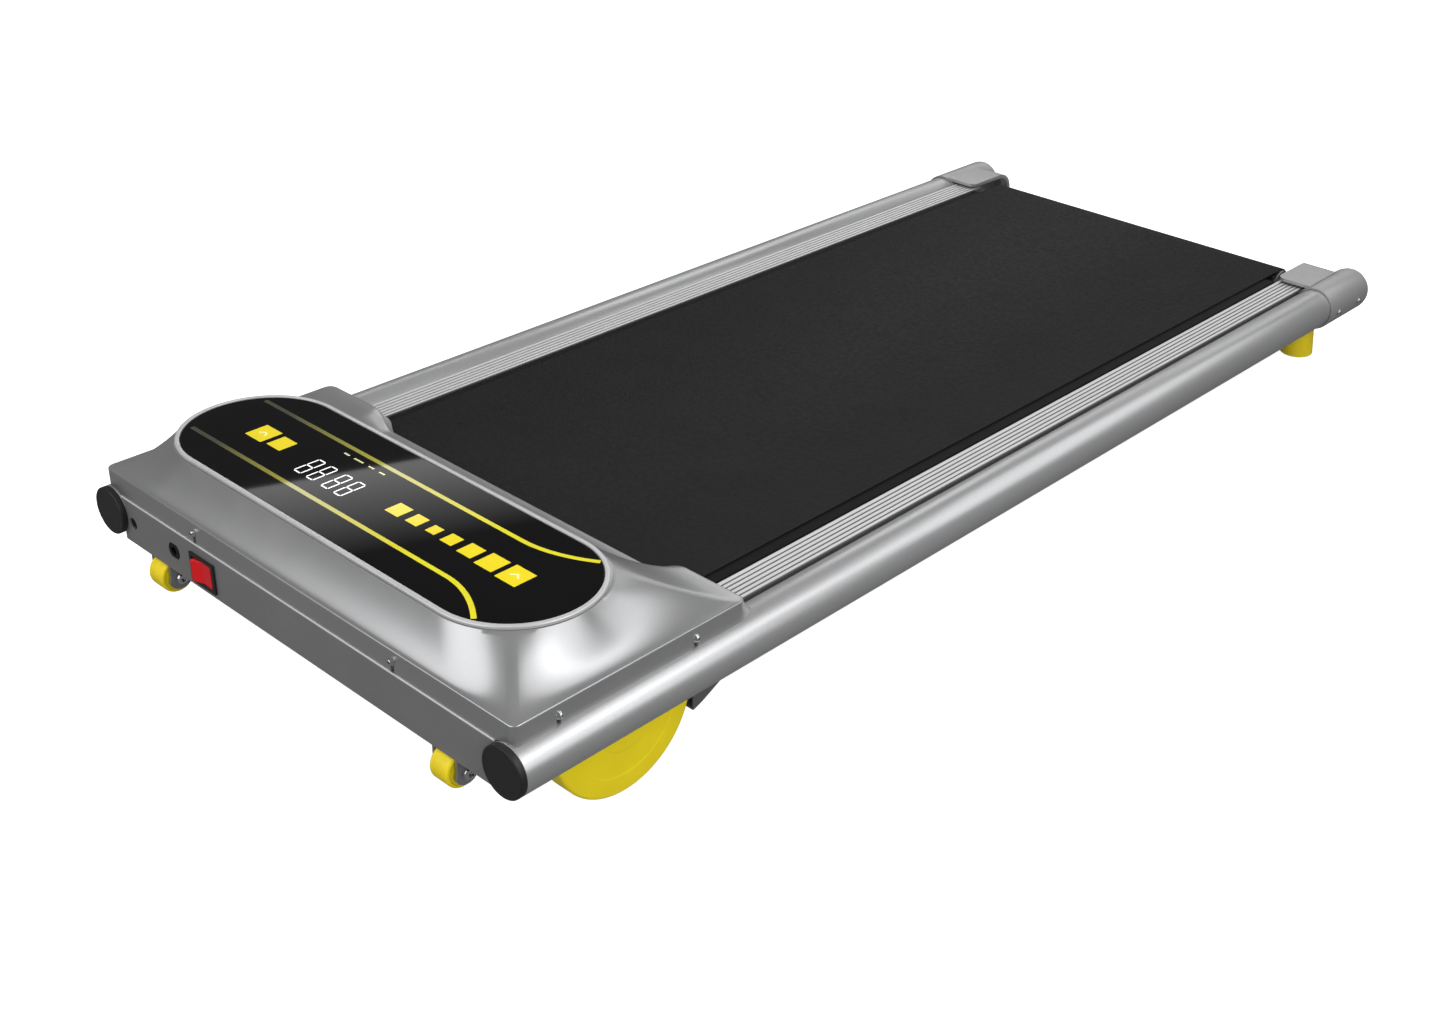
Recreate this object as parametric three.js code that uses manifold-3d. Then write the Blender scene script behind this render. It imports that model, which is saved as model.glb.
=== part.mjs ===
// A low under-desk treadmill: two round side tubes carry a deck with a walking belt, a motor compartment with
// a console at the front, two large transport wheels beside the motor and two rubber feet at the rear.
// Millimetres, +Z up. +Y runs from the console end to the rear and +X is on the right as seen from the front.
// Left and right in the names are as seen from the front. The deck slopes: its front end stands higher.
import * as THREE from "three";
import { mergeVertices } from "three/addons/utils/BufferGeometryUtils.js";
import Module from "manifold-3d";

const wasm = await Module();
wasm.setup();

// Driving dimensions. The deck's own frame has y = 0 just in front of the side tubes and z = 0 on their
// centre line.
const GAP = 0.3;
const ROUND = 40;
const DECK_SLOPE = THREE.MathUtils.degToRad(1.8);

const TUBE = { x: 252.8, radius: 21, wall: 1.5, front: 3.4, rear: 1232 };
const FRONT_CAP = { face: -2.2, flange: 3.1, plug: 14 };
const REAR_CAP = { front: 1153.5, rear: 1246.6, skin: 1.9, rounding: 11 };
const CAP_PLATE = { inner: 206, top: 23.5, thickness: 3.3, corner: 9 };
const SLEEVE_RADIUS = TUBE.radius + GAP + REAR_CAP.skin;
const REAR_WALL = { y: 1234, thickness: 4.5, bend: 24, bottom: -12 };
const CAP_SCREW = { ys: [1170.5, 1217], z: -2.5, headRadius: 3.6, rise: 2.1, shankRadius: 1.8 };

const BELT = { halfWidth: 193.2, thickness: 1.6, top: 18.9 };
const ROLLER = { radius: 19.2, front: 210, rear: 1187.4, halfLength: 196, bore: 6.3, shell: 2, plug: 14 };
ROLLER.z = BELT.top - BELT.thickness - GAP - ROLLER.radius;
const AXLE = { radius: 6, halfLength: 228 };
const TENSION_BOLT = { x: 219, shank: 3, head: 5.4 };

const BOARD = { halfWidth: 204, front: 240, rear: 1158, bottom: 0.3 };
const RAIL = { inner: 206, outer: 235, front: 229, rear: 1170, top: 17.1, plate: 2.5, leg: 2, legFoot: 0.3 };
const RAIL_GROOVES = { count: 5, width: 1.2, depth: 1.1 };
const CROSS_MEMBER = { ys: [340, 690, 1040], width: 30, top: 0, bottom: -14, wall: 2, halfLength: 231.4 };

const PLATE = { thickness: 2.5, top: 18.2, bottom: -23.3, flange: 22 };
// The left caster sits nearer to its tube than the right one does.
const CASTER = { right: 181.6, left: -189.9, radius: 15.8, width: 21, bore: 3.4 };
const EAR = { span: 28, thickness: 2.5, y: 13.5, z: -38.2, radius: 11, top: -11 };
const ROUND_HOLE = { x: -224.4, z: -3.1, radius: 5.5 };
const CORD_HOLE = { x: -161.7, z: -2.8, radius: 7.9, flat: 6.6 };
// The overload breaker sits behind the round hole.
const BREAKER = { front: 5.2, rear: 30, radius: 6.4, neck: 5.1, button: 3.6 };
const SWITCH = { x: -118.4, z: -4.7, width: 34.4, height: 27.5, proud: 2.2, depth: 22 };
const ROCKER = { halfWidth: 12, height: 20.4, pivotDepth: 7, tilt: THREE.MathUtils.degToRad(8) };

const WHEEL = { radius: 69.4, inner: 205, outer: 228.5, y: 138.9, z: -37.8, bore: 6.4 };
const FOOT = { x: 224, y: 1197, radius: 18.2, top: 14.8, collar: 7 };
const FOOT_BAR = { width: 34, top: -28.5, bottom: -38, halfLength: 238 };

const COVER = { halfWidth: 260, front: 4.2, wing: 233, wingFoot: 246.5, lip: 226, lipFoot: 231, corner: 6.7 };
const COVER_HEIGHT = { bottom: 18.5, shoulder: 36.6, rim: 37.8, lip: 28, top: 72.5 };
const COVER_WALL = 2.6;
// Angles on the console's right end where the cover's two ridges start, which run to the corners of the rim.
const [RIDGE_FRONT, RIDGE_REAR] = [-43, 60];
const COVER_SWEEP = 1.6;
const COVER_SCREW = { frontX: 127.7, sideYs: [44.5, 179.3], z: 28.3, headRadius: 3.4, rise: 3.1, slot: 2.9 };
const CONSOLE = { y: 94.4, halfStraight: 158.3, glassRadius: 65.4, glassTop: 74.8, glass: 2, ringWidth: 4.4 };
CONSOLE.ringTop = CONSOLE.glassTop + 0.8;
const CONSOLE_OPENING = 60;

const PAN = { halfWidth: 225, bottom: -76, wall: 2, front: 26, slopeFoot: 97, curveStart: 190, curve: 89 };
PAN.edge = -24;
PAN.sideTop = -14;
PAN.rearFlange = 318;

const MOTOR = { y: 118, z: -20, radius: 40, from: -172, to: -12, shaft: 5 };
const DRIVE = { from: -203.2, to: -195.6, rollerPulley: 25, motorPulley: 13, beltWidth: 6.4, beltHeight: 2.2 };
const TRAY = { halfWidth: 95, thickness: 3, top: -60.4, shelf: -8, rear: 176 };

// The floor lies under the transport wheels, so the deck's height follows from the wheels.
const deckHeight =
  WHEEL.radius + WHEEL.y * Math.sin(DECK_SLOPE) - WHEEL.z * Math.cos(DECK_SLOPE);

// Where a point of the deck's own frame lies above the floor, as { y, z }.
function onFloor(y, z) {
  return {
    y: y * Math.cos(DECK_SLOPE) + z * Math.sin(DECK_SLOPE),
    z: z * Math.cos(DECK_SLOPE) - y * Math.sin(DECK_SLOPE) + deckHeight,
  };
}

// Solids: closed three.js geometry turned into manifold solids, which can be joined and cut.
function solid(geometry) {
  const bare = geometry.index ? geometry.toNonIndexed() : geometry.clone();
  bare.deleteAttribute("normal");
  bare.deleteAttribute("uv");
  const merged = mergeVertices(bare, 1e-4);
  const mesh = new wasm.Mesh({
    numProp: 3,
    vertProperties: merged.attributes.position.array,
    triVerts: new Uint32Array(merged.index.array),
  });
  return new wasm.Manifold(mesh);
}

function geometryOf(body) {
  const mesh = body.getMesh();
  const geometry = new THREE.BufferGeometry();
  geometry.setAttribute("position", new THREE.BufferAttribute(mesh.vertProperties, 3));
  geometry.setIndex(new THREE.BufferAttribute(mesh.triVerts, 1));
  return geometry;
}

function join(...bodies) {
  return bodies.reduce((all, next) => all.add(next));
}

function cut(body, ...tools) {
  return tools.reduce((left, tool) => left.subtract(tool), body);
}

function block([x0, x1], [y0, y1], [z0, z1]) {
  const geometry = new THREE.BoxGeometry(x1 - x0, y1 - y0, z1 - z0);
  return solid(geometry.translate((x0 + x1) / 2, (y0 + y1) / 2, (z0 + z1) / 2));
}

// Turns a shape whose own axis is +Y so that its axis lies along x, y or z.
function alignAxis(geometry, axis) {
  if (axis === "x") return geometry.rotateZ(-Math.PI / 2);
  if (axis === "z") return geometry.rotateX(Math.PI / 2);
  return geometry;
}

// A round bar along an axis from one place to another. The centre gives its place along the other two axes.
function bar(axis, radius, [from, to], [a, b], sides = 24) {
  const along = (from + to) / 2;
  const centre = { x: [along, a, b], y: [a, along, b], z: [a, b, along] }[axis];
  const geometry = new THREE.CylinderGeometry(radius, radius, to - from, sides);
  return solid(alignAxis(geometry, axis).translate(...centre));
}

// A turned piece. The profile lists [radius, place along the axis] round the section, anticlockwise.
function turned(axis, profile, [a, b], sides = 40) {
  const points = profile.map(([radius, along]) => new THREE.Vector2(radius, along));
  const geometry = new THREE.LatheGeometry(points, sides);
  const centre = { x: [0, a, b], y: [a, 0, b], z: [a, b, 0] }[axis];
  return solid(alignAxis(geometry, axis).translate(...centre));
}

// An outline pushed along an axis. An outline for x is in (y, z), one for y in (x, z) and one for z in (x, y).
function pushed(axis, outline, [from, to], holes = []) {
  const shape = outline.isShape ? outline : new THREE.Shape(outline.map(([u, v]) => new THREE.Vector2(u, v)));
  shape.holes.push(...holes);
  const options = { depth: to - from, bevelEnabled: false, curveSegments: 16 };
  const geometry = new THREE.ExtrudeGeometry(shape, options);
  const turn = new THREE.Matrix4();
  const [x, y, z] = [new THREE.Vector3(1, 0, 0), new THREE.Vector3(0, 1, 0), new THREE.Vector3(0, 0, 1)];
  if (axis === "x") turn.makeBasis(y, z, x).setPosition(from, 0, 0);
  if (axis === "y") turn.makeBasis(x, z, y.clone().negate()).setPosition(0, to, 0);
  if (axis === "z") turn.setPosition(0, 0, from);
  return solid(geometry.applyMatrix4(turn));
}

// Points on an arc, from one angle to another in degrees.
function arc([u, v], radius, from, to, steps) {
  return Array.from({ length: steps + 1 }, (_, i) => {
    const angle = THREE.MathUtils.degToRad(from + ((to - from) * i) / steps);
    return [u + radius * Math.cos(angle), v + radius * Math.sin(angle)];
  });
}

// A closed skin through rings of points. Each ring runs anticlockwise from above, and the lowest comes first.
function loft(rings) {
  const count = rings[0].length;
  const centre = (ring) => {
    const sum = ring.reduce((all, point) => all.add(point), new THREE.Vector3());
    return sum.divideScalar(count);
  };
  const points = [...rings.flat(), centre(rings[0]), centre(rings.at(-1))];
  const [low, high] = [points.length - 2, points.length - 1];
  const lastRing = (rings.length - 1) * count;
  const faces = [];
  for (let i = 0; i < count; i += 1) {
    const next = (i + 1) % count;
    faces.push(low, next, i, high, lastRing + i, lastRing + next);
    for (let ring = 0; ring < lastRing; ring += count) {
      const [a, b, c, d] = [ring + i, ring + next, ring + count + next, ring + count + i];
      faces.push(a, b, c, a, c, d);
    }
  }
  const geometry = new THREE.BufferGeometry().setFromPoints(points);
  geometry.setIndex(faces);
  return solid(geometry);
}

// A long outline with two half-round ends, in the plane of the console.
function stadium(radius) {
  const { y, halfStraight } = CONSOLE;
  const right = arc([halfStraight, y], radius, -90, 90, 20);
  const left = arc([-halfStraight, y], radius, 90, 270, 20);
  return [...right, ...left];
}

// The group: pieces that lie square to the deck go in the sloping group, the rest stands on the floor.
const treadmill = new THREE.Group();
const deck = new THREE.Group();
deck.rotation.x = -DECK_SLOPE;
deck.position.z = deckHeight;
treadmill.add(deck);

const FINISHES = {
  silver: { color: 0xa9abae, roughness: 0.38, metalness: 0.6 },
  aluminium: { color: 0xb9bbbd, roughness: 0.42, metalness: 0.85 },
  greySteel: { color: 0x5f6062, roughness: 0.55, metalness: 0.4 },
  chrome: { color: 0xd8dadd, roughness: 0.15, metalness: 1 },
  steel: { color: 0x8d9093, roughness: 0.35, metalness: 1 },
  greyPlastic: { color: 0x8a8c8e, roughness: 0.55, metalness: 0.1 },
  darkPlastic: { color: 0x3a3b3e, roughness: 0.6, metalness: 0 },
  blackPlastic: { color: 0x1c1c1e, roughness: 0.5, metalness: 0 },
  redPlastic: { color: 0xc81f28, roughness: 0.3, metalness: 0 },
  yellow: { color: 0xe0cb1e, roughness: 0.6, metalness: 0 },
  glass: { color: 0x0b0b0d, roughness: 0.08, metalness: 0 },
  beltRubber: { color: 0x232426, roughness: 0.85, metalness: 0 },
  board: { color: 0x2b2724, roughness: 0.7, metalness: 0 },
  circuit: { color: 0x1f5a36, roughness: 0.5, metalness: 0 },
};

function place(group, name, body, finish) {
  const mesh = new THREE.Mesh(geometryOf(body), new THREE.MeshStandardMaterial(FINISHES[finish]));
  mesh.name = name;
  group.add(mesh);
  return mesh;
}

// A piece made for the right side, and its mirror image on the left.
function placePair(group, name, body, finish) {
  place(group, `right_${name}`, body, finish);
  place(group, `left_${name}`, body, finish).scale.x = -1;
}

// Frame
// Room for the cap screws' shanks, through the outer side of the sleeve and of the tube.
function capScrewHoles() {
  return CAP_SCREW.ys.map((y) =>
    bar("x", CAP_SCREW.shankRadius + GAP, [TUBE.x, TUBE.x + 40], [y, CAP_SCREW.z], 12),
  );
}

function sideTube() {
  const { radius, wall, front, rear, x } = TUBE;
  return cut(
    bar("y", radius, [front, rear], [x, 0], ROUND),
    bar("y", radius - wall, [front - 1, rear + 1], [x, 0], ROUND),
    ...capScrewHoles(),
  );
}

function frontTubeCap() {
  const { face, flange, plug } = FRONT_CAP;
  const plugRadius = TUBE.radius - TUBE.wall - GAP;
  const profile = [[0, face], [TUBE.radius - 1, face], [TUBE.radius, face + 1], [TUBE.radius, flange]];
  profile.push([plugRadius, flange], [plugRadius - 1, plug], [0, plug]);
  return turned("y", profile, [TUBE.x, 0], ROUND);
}

// The rear cap: a sleeve with a rounded end over the tube, and a plate over the step rail that turns down
// behind the roller.
function rearEndCap() {
  const { front, rear, rounding } = REAR_CAP;
  const { inner, top: plateTop, thickness: plate, corner } = CAP_PLATE;
  const nose = arc([SLEEVE_RADIUS - rounding, rear - rounding], rounding, 0, 90, 4);
  const sleeve = turned("y", [[0, front], [SLEEVE_RADIUS, front], ...nose, [0, rear]], [TUBE.x, 0], ROUND);
  const { y, thickness, bend, bottom } = REAR_WALL;
  const bendCentre = [y - bend, plateTop - bend];
  const hook = [
    [front, plateTop - plate],
    ...arc(bendCentre, bend - thickness, 90, 0, 6),
    [y - thickness, bottom],
    [y, bottom],
    ...arc(bendCentre, bend, 0, 90, 6),
    [front, plateTop],
  ];
  const seenFromAbove = [
    ...arc([inner + corner, front + corner], corner, 180, 270, 4),
    [TUBE.x - 8, front],
    [TUBE.x - 8, rear],
    [inner, rear],
  ];
  const plan = pushed("z", seenFromAbove, [bottom - 1, plateTop + 1]);
  const body = join(sleeve, pushed("x", hook, [inner, TUBE.x - 8]).intersect(plan));
  const tubeRoom = bar("y", TUBE.radius + GAP, [front - 1, TUBE.rear + GAP], [TUBE.x, 0], ROUND);
  const boltHole = bar("y", 3.5, [y - 10, y + 10], [TENSION_BOLT.x, ROLLER.z], 16);
  return cut(body, tubeRoom, boltHole, ...capScrewHoles());
}

// A screw with a domed head and a cross recess, its axis along x, its head to the right of the given place.
function domedScrew(x, y, z, { headRadius, shankRadius, shank, rise }) {
  const dome = [[0, x - shank], [shankRadius, x - shank], [shankRadius, x], [headRadius, x]];
  const top = x + rise;
  dome.push([headRadius * 0.8, top - 0.8], [headRadius * 0.4, top - 0.2], [0, top]);
  const slots = [0, 1].map((turn) => {
    const [wide, high] = turn ? [0.45, 1.7] : [1.7, 0.45];
    return block([top - 1.1, top + 1], [y - wide, y + wide], [z - high, z + high]);
  });
  return cut(turned("x", dome, [y, z], 12), ...slots);
}

function stepRail() {
  const { inner, outer, top, plate, leg, legFoot, front, rear } = RAIL;
  const under = top - plate;
  const { count, width, depth } = RAIL_GROOVES;
  const pitch = (outer - inner) / (count + 1);
  const grooved = [];
  for (let i = count; i >= 1; i -= 1) {
    const middle = inner + pitch * i;
    grooved.push([middle + width / 2, top], [middle + width / 2, top - depth]);
    grooved.push([middle - width / 2, top - depth], [middle - width / 2, top]);
  }
  const outerLeg = outer - 6;
  const outline = [
    [inner, legFoot],
    [inner + leg, legFoot],
    [inner + leg, under],
    [outerLeg, under],
    [outerLeg, legFoot],
    [outerLeg + leg, legFoot],
    [outerLeg + leg, under],
    [outer, under],
    [outer, top],
    ...grooved,
    [inner, top],
  ];
  const sleeveRoom = bar("y", SLEEVE_RADIUS + GAP, [REAR_CAP.front - GAP, rear + 1], [TUBE.x, 0], ROUND);
  return cut(pushed("y", outline, [front, rear]), sleeveRoom);
}

function crossMember(y) {
  const { width, top, bottom, wall, halfLength } = CROSS_MEMBER;
  const outer = block([-halfLength, halfLength], [y - width / 2, y + width / 2], [bottom, top]);
  const insideY = [y - width / 2 + wall, y + width / 2 - wall];
  return cut(outer, block([-halfLength - 1, halfLength + 1], insideY, [bottom + wall, top - wall]));
}

function footBar() {
  const { width, top, bottom, halfLength } = FOOT_BAR;
  const y = [FOOT.y - width / 2, FOOT.y + width / 2];
  const postRear = REAR_WALL.y - REAR_WALL.thickness - 1;
  const posts = [1, -1].map((side) => {
    const ends = [side * (halfLength - 12), side * halfLength].sort((a, b) => a - b);
    return block(ends, [ROLLER.rear + 10, postRear], [top - 1, -8]);
  });
  const sleeves = [1, -1].map((side) =>
    bar("y", SLEEVE_RADIUS + GAP, [y[0] - 1, postRear + 1], [side * TUBE.x, 0], ROUND),
  );
  return cut(join(block([-halfLength, halfLength], y, [bottom, top]), ...posts), ...sleeves);
}

// Front plate: folded steel across the front, with ears for the casters and a flange under the cover.
function casterEar(from) {
  const { thickness, y, z, radius, top } = EAR;
  const front = TUBE.front + PLATE.thickness / 2;
  const outline = [[front, top], [front, z + 2], ...arc([y, z], radius, 200, 360, 8), [y + radius, top]];
  return pushed("x", outline, [from, from + thickness]);
}

function frontCrossPlate() {
  const { thickness, top, bottom, flange } = PLATE;
  const y = [TUBE.front, TUBE.front + thickness];
  const reach = TUBE.x - 13;
  const sheet = block([-reach, reach], y, [bottom, top]);
  const fold = block([-reach, reach], [TUBE.front, TUBE.front + flange], [top - thickness, top]);
  const tabs = [1, -1].map((side) => {
    const middle = side * COVER_SCREW.frontX;
    const tabY = [COVER.front + COVER_WALL + 0.6, COVER.front + COVER_WALL + 2.6];
    return block([middle - 8, middle + 8], tabY, [top - 1, COVER_SCREW.z + 5]);
  });
  const casters = [CASTER.right, CASTER.left];
  const ears = casters.flatMap((middle) => [
    casterEar(middle - EAR.span / 2),
    casterEar(middle + EAR.span / 2 - EAR.thickness),
  ]);
  const tubes = [1, -1].map((side) =>
    bar("y", TUBE.radius + GAP, [0, flange + 10], [side * TUBE.x, 0], ROUND),
  );
  const switchRoom = block(
    [SWITCH.x - 15, SWITCH.x + 15],
    [0, 10],
    [SWITCH.z - 11.5, SWITCH.z + 11.5],
  );
  const roundHole = bar("y", ROUND_HOLE.radius, [0, 10], [ROUND_HOLE.x, ROUND_HOLE.z], 24);
  const boltHoles = casters.map((middle) =>
    bar("x", CASTER.bore, [middle - EAR.span, middle + EAR.span], [EAR.y, EAR.z], 16),
  );
  const screwHoles = [1, -1].map((side) =>
    bar("y", 2.1, [0, 20], [side * COVER_SCREW.frontX, COVER_SCREW.z], 12),
  );
  const plate = join(sheet, fold, ...tabs, ...ears);
  return cut(plate, ...tubes, switchRoom, roundHole, cordOutline(0, [0, 10]), ...boltHoles, ...screwHoles);
}

// The cord hole is round with two flats. The grommet fills it, smaller by the given inset.
function cordOutline(inset, y) {
  const { x, z, radius, flat } = CORD_HOLE;
  const round = bar("y", radius - inset, y, [x, z], 32);
  const half = flat - inset;
  return round.intersect(block([x - 20, x + 20], [y[0] - 1, y[1] + 1], [z - half, z + half]));
}

function cordGrommet() {
  const y = [TUBE.front - 0.6, TUBE.front + 14];
  const bore = bar("y", 3.8, [y[0] - 1, y[1] + 1], [CORD_HOLE.x, CORD_HOLE.z], 24);
  return cut(cordOutline(GAP, y), bore);
}

// Switch: its hinge runs upright through the middle, behind the bezel's face.
const bezelFace = TUBE.front - SWITCH.proud;

function switchHousing() {
  const { x, z, width, height, proud, depth } = SWITCH;
  const bezelX = [x - width / 2, x + width / 2];
  const bezel = block(bezelX, [bezelFace, bezelFace + proud - GAP], [z - height / 2, z + height / 2]);
  const body = block([x - 14.6, x + 14.6], [bezelFace + 1, bezelFace + depth], [z - 11.1, z + 11.1]);
  const roomX = [x - 13.7, x + 13.7];
  const roomHalf = ROCKER.height / 2 + GAP;
  const room = block(roomX, [bezelFace - 1, bezelFace + 13], [z - roomHalf, z + roomHalf]);
  return cut(join(bezel, body), room);
}

function switchRocker() {
  const { halfWidth, height, pivotDepth } = ROCKER;
  const outline = [
    [-halfWidth, -8.6],
    [0, -6.4],
    [halfWidth, -8.6],
    [halfWidth - 1, -4],
    ...arc([0, 0], 4, 0, 180, 10),
    [-halfWidth + 1, -4],
  ].reverse();
  const rocker = pushed("z", outline, [-height / 2, height / 2]);
  const turn = new THREE.Matrix4().makeRotationZ(ROCKER.tilt);
  turn.setPosition(SWITCH.x, bezelFace + pivotDepth, SWITCH.z);
  return solid(geometryOf(rocker).applyMatrix4(turn));
}

// Overload breaker behind the round hole, with its reset button.
function overloadBreaker() {
  const { front, rear, radius, neck, button } = BREAKER;
  const behindPlate = TUBE.front + PLATE.thickness + GAP;
  const profile = [[0, front], [neck, front], [neck, behindPlate]];
  profile.push([radius, behindPlate], [radius, rear], [0, rear]);
  const body = turned("y", profile, [ROUND_HOLE.x, ROUND_HOLE.z], 24);
  return cut(body, bar("y", button + GAP, [front - 1, front + 12], [ROUND_HOLE.x, ROUND_HOLE.z], 20));
}

function resetButton() {
  const { front, button } = BREAKER;
  return bar("y", button, [front - 1.4, front + 8], [ROUND_HOLE.x, ROUND_HOLE.z], 20);
}

// Casters and their bolts. Both bolt heads face right, so the bolts are placed one by one.
function casterWheel(middle) {
  const { radius, width, bore } = CASTER;
  const [left, right] = [middle - width / 2, middle + width / 2];
  const profile = [[bore, left], [radius - 2, left], [radius, left + 2], [radius, right - 2]];
  profile.push([radius - 2, right], [bore, right], [bore, left]);
  return turned("x", profile, [EAR.y, EAR.z], 32);
}

function casterBolt(middle) {
  const { span, y, z } = EAR;
  const [left, right] = [middle - span / 2, middle + span / 2];
  const shank = bar("x", 3, [left - 5, right + 1], [y, z], 20);
  const head = bar("x", 5.4, [right + GAP, right + 4.8], [y, z], 24);
  const socket = bar("x", 3, [right + 2.2, right + 6], [y, z], 6);
  const nut = bar("x", 5.6, [left - 4.6, left - GAP], [y, z], 6);
  return cut(join(shank, head, nut), socket);
}

// Transport wheels stand on the floor, so they are placed outside the sloping group.
function transportWheel() {
  const { radius, inner, outer, bore } = WHEEL;
  const { y, z } = onFloor(WHEEL.y, WHEEL.z);
  const recess = 13;
  const profile = [
    [bore, inner + 6],
    [recess, inner + 6],
    [recess, inner],
    [radius - 2.5, inner],
    [radius, inner + 2.5],
    [radius, outer - 2.5],
    [radius - 2.5, outer],
    [radius - 12, outer],
    [radius - 13, outer - 0.8],
    [bore + 14, outer - 0.8],
    [bore + 13, outer],
    [bore, outer],
    [bore, inner + 6],
  ];
  return turned("x", profile, [y, z], ROUND);
}

function wheelAxle() {
  const { inner, outer, y, z } = WHEEL;
  const shank = bar("x", 6, [inner + 1, outer + 0.6], [y, z], 24);
  const nut = bar("x", 10, [inner + 0.4, inner + 5.6], [y, z], 6);
  return join(shank, nut);
}

// A steel strap beside the tube that carries the wheel's axle.
function wheelBracket() {
  const { outer, y, z } = WHEEL;
  const outline = [[y + 20, 12], [y - 20, 12], ...arc([y, z], 8, 180, 360, 10)];
  return pushed("x", outline, [outer + 0.9, TUBE.x - TUBE.radius - GAP]);
}

function rearFoot() {
  const { x, radius, top: topRadius, collar } = FOOT;
  const { y, z } = onFloor(FOOT.y, FOOT_BAR.bottom);
  const top = z - 0.9;
  const profile = [[0, 0], [radius - 1.5, 0], [radius, 1.5], [topRadius + 0.8, top - collar]];
  profile.push([topRadius, top - collar], [topRadius - 0.6, top], [0, top]);
  return turned("z", profile, [x, y], 32);
}

// Rollers and belts
function roller(y, withPulley) {
  const { radius, halfLength, bore, shell, plug, z } = ROLLER;
  const hollow = radius - shell;
  const { from, to, rollerPulley } = DRIVE;
  const leftEnd = withPulley
    ? [[bore, from], [rollerPulley, from], [rollerPulley, to], [radius, to]]
    : [[bore, -halfLength], [radius, -halfLength]];
  const profile = [
    ...leftEnd,
    [radius, halfLength],
    [bore, halfLength],
    [bore, halfLength - plug],
    [hollow, halfLength - plug],
    [hollow, -halfLength + plug],
    [bore, -halfLength + plug],
    leftEnd[0],
  ];
  return turned("x", profile, [y, z], 40);
}

function rollerAxle(y) {
  const { radius, halfLength } = AXLE;
  return bar("x", radius, [-halfLength, halfLength], [y, ROLLER.z], 24);
}

function frontRollerBracket() {
  const [y, z] = [ROLLER.front, ROLLER.z];
  const body = block([214, TUBE.x - TUBE.radius - 0.4], [y - 5, y + 16], [z - 8.5, z + 10]);
  const axleRoom = bar("x", AXLE.radius + GAP, [200, 240], [y, z], 24);
  return cut(body, axleRoom, block([200, 240], [y - 20, y], [z - AXLE.radius - GAP, z + AXLE.radius + GAP]));
}

function tensionBolt() {
  const { x, shank, head } = TENSION_BOLT;
  const start = ROLLER.rear + AXLE.radius + GAP;
  const face = REAR_WALL.y + GAP;
  const body = join(
    bar("y", shank, [start, face + 1], [x, ROLLER.z], 16),
    bar("y", head, [face, face + 5], [x, ROLLER.z], 20),
  );
  return cut(body, bar("y", 2.9, [face + 2, face + 8], [x, ROLLER.z], 6));
}

// The outline of a belt round two circles, in the (y, z) plane, at a distance outside them.
function beltOutline([near, far], distance) {
  const [dy, dz] = [far.y - near.y, far.z - near.z];
  const heading = THREE.MathUtils.radToDeg(Math.atan2(dz, dy));
  const lean = THREE.MathUtils.radToDeg(Math.asin((far.radius - near.radius) / Math.hypot(dy, dz)));
  const [low, high] = [heading - 90 - lean, heading + 90 + lean];
  const farArc = arc([far.y, far.z], far.radius + distance, low, high, 24);
  const nearArc = arc([near.y, near.z], near.radius + distance, high, low + 360, 24);
  return [...farArc, ...nearArc];
}

function loopBelt(circles, thickness, x) {
  const hole = beltOutline(circles, GAP).map(([u, v]) => new THREE.Vector2(u, v));
  return pushed("x", beltOutline(circles, GAP + thickness), x, [new THREE.Path(hole)]);
}

function walkingBelt() {
  const { radius, z, front, rear } = ROLLER;
  const circles = [{ y: front, z, radius }, { y: rear, z, radius }];
  return loopBelt(circles, BELT.thickness, [-BELT.halfWidth, BELT.halfWidth]);
}

function driveBelt() {
  const { from, to, beltWidth, beltHeight, rollerPulley, motorPulley } = DRIVE;
  const middle = (from + to) / 2;
  const circles = [
    { y: MOTOR.y, z: MOTOR.z, radius: motorPulley },
    { y: ROLLER.front, z: ROLLER.z, radius: rollerPulley },
  ];
  return loopBelt(circles, beltHeight, [middle - beltWidth / 2, middle + beltWidth / 2]);
}

function deckBoard() {
  const top = BELT.top - BELT.thickness - GAP;
  const { halfWidth, front, rear, bottom } = BOARD;
  const outline = [[front, bottom], [rear, bottom], [rear, top - 5], [rear - 5, top]];
  outline.push([front + 5, top], [front, top - 5]);
  return pushed("x", outline, [-halfWidth, halfWidth]);
}

// Motor compartment
function motorPulley() {
  const { from, to, motorPulley: pulley } = DRIVE;
  const { shaft, from: bodyStart, y, z } = MOTOR;
  const profile = [[0, from], [pulley, from], [pulley, to], [8, to], [8, to + 5], [shaft, to + 5]];
  profile.push([shaft, bodyStart + 20], [0, bodyStart + 20]);
  return turned("x", profile, [y, z], 32);
}

function driveMotor() {
  const { radius, from, to, shaft, y, z } = MOTOR;
  const profile = [
    [0, from],
    [22, from],
    [22, from + 6],
    [radius - 4, from + 6],
    [radius, from + 12],
    [radius, to - 12],
    [radius - 4, to - 6],
    [20, to - 6],
    [20, to],
    [0, to],
  ];
  const shaftRoom = bar("x", shaft + GAP, [from - 1, from + 21], [y, z], 24);
  return cut(turned("x", profile, [y, z], 40), shaftRoom);
}

// A steel tray bolted behind the front plate, which slopes down under the motor and the control board.
function motorTray() {
  const { halfWidth, thickness, top, shelf, rear } = TRAY;
  const lip = TUBE.front + PLATE.thickness + GAP;
  const outline = [
    [lip, 12],
    [lip, shelf - thickness],
    [PAN.front + 6, shelf - thickness],
    [PAN.slopeFoot + 1, top - thickness],
    [rear, top - thickness],
    [rear, top],
    [PAN.slopeFoot + 3, top],
    [PAN.front + 8, shelf],
    [lip + thickness, shelf],
    [lip + thickness, 12],
  ];
  return pushed("x", outline, [-halfWidth, halfWidth]);
}

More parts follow.
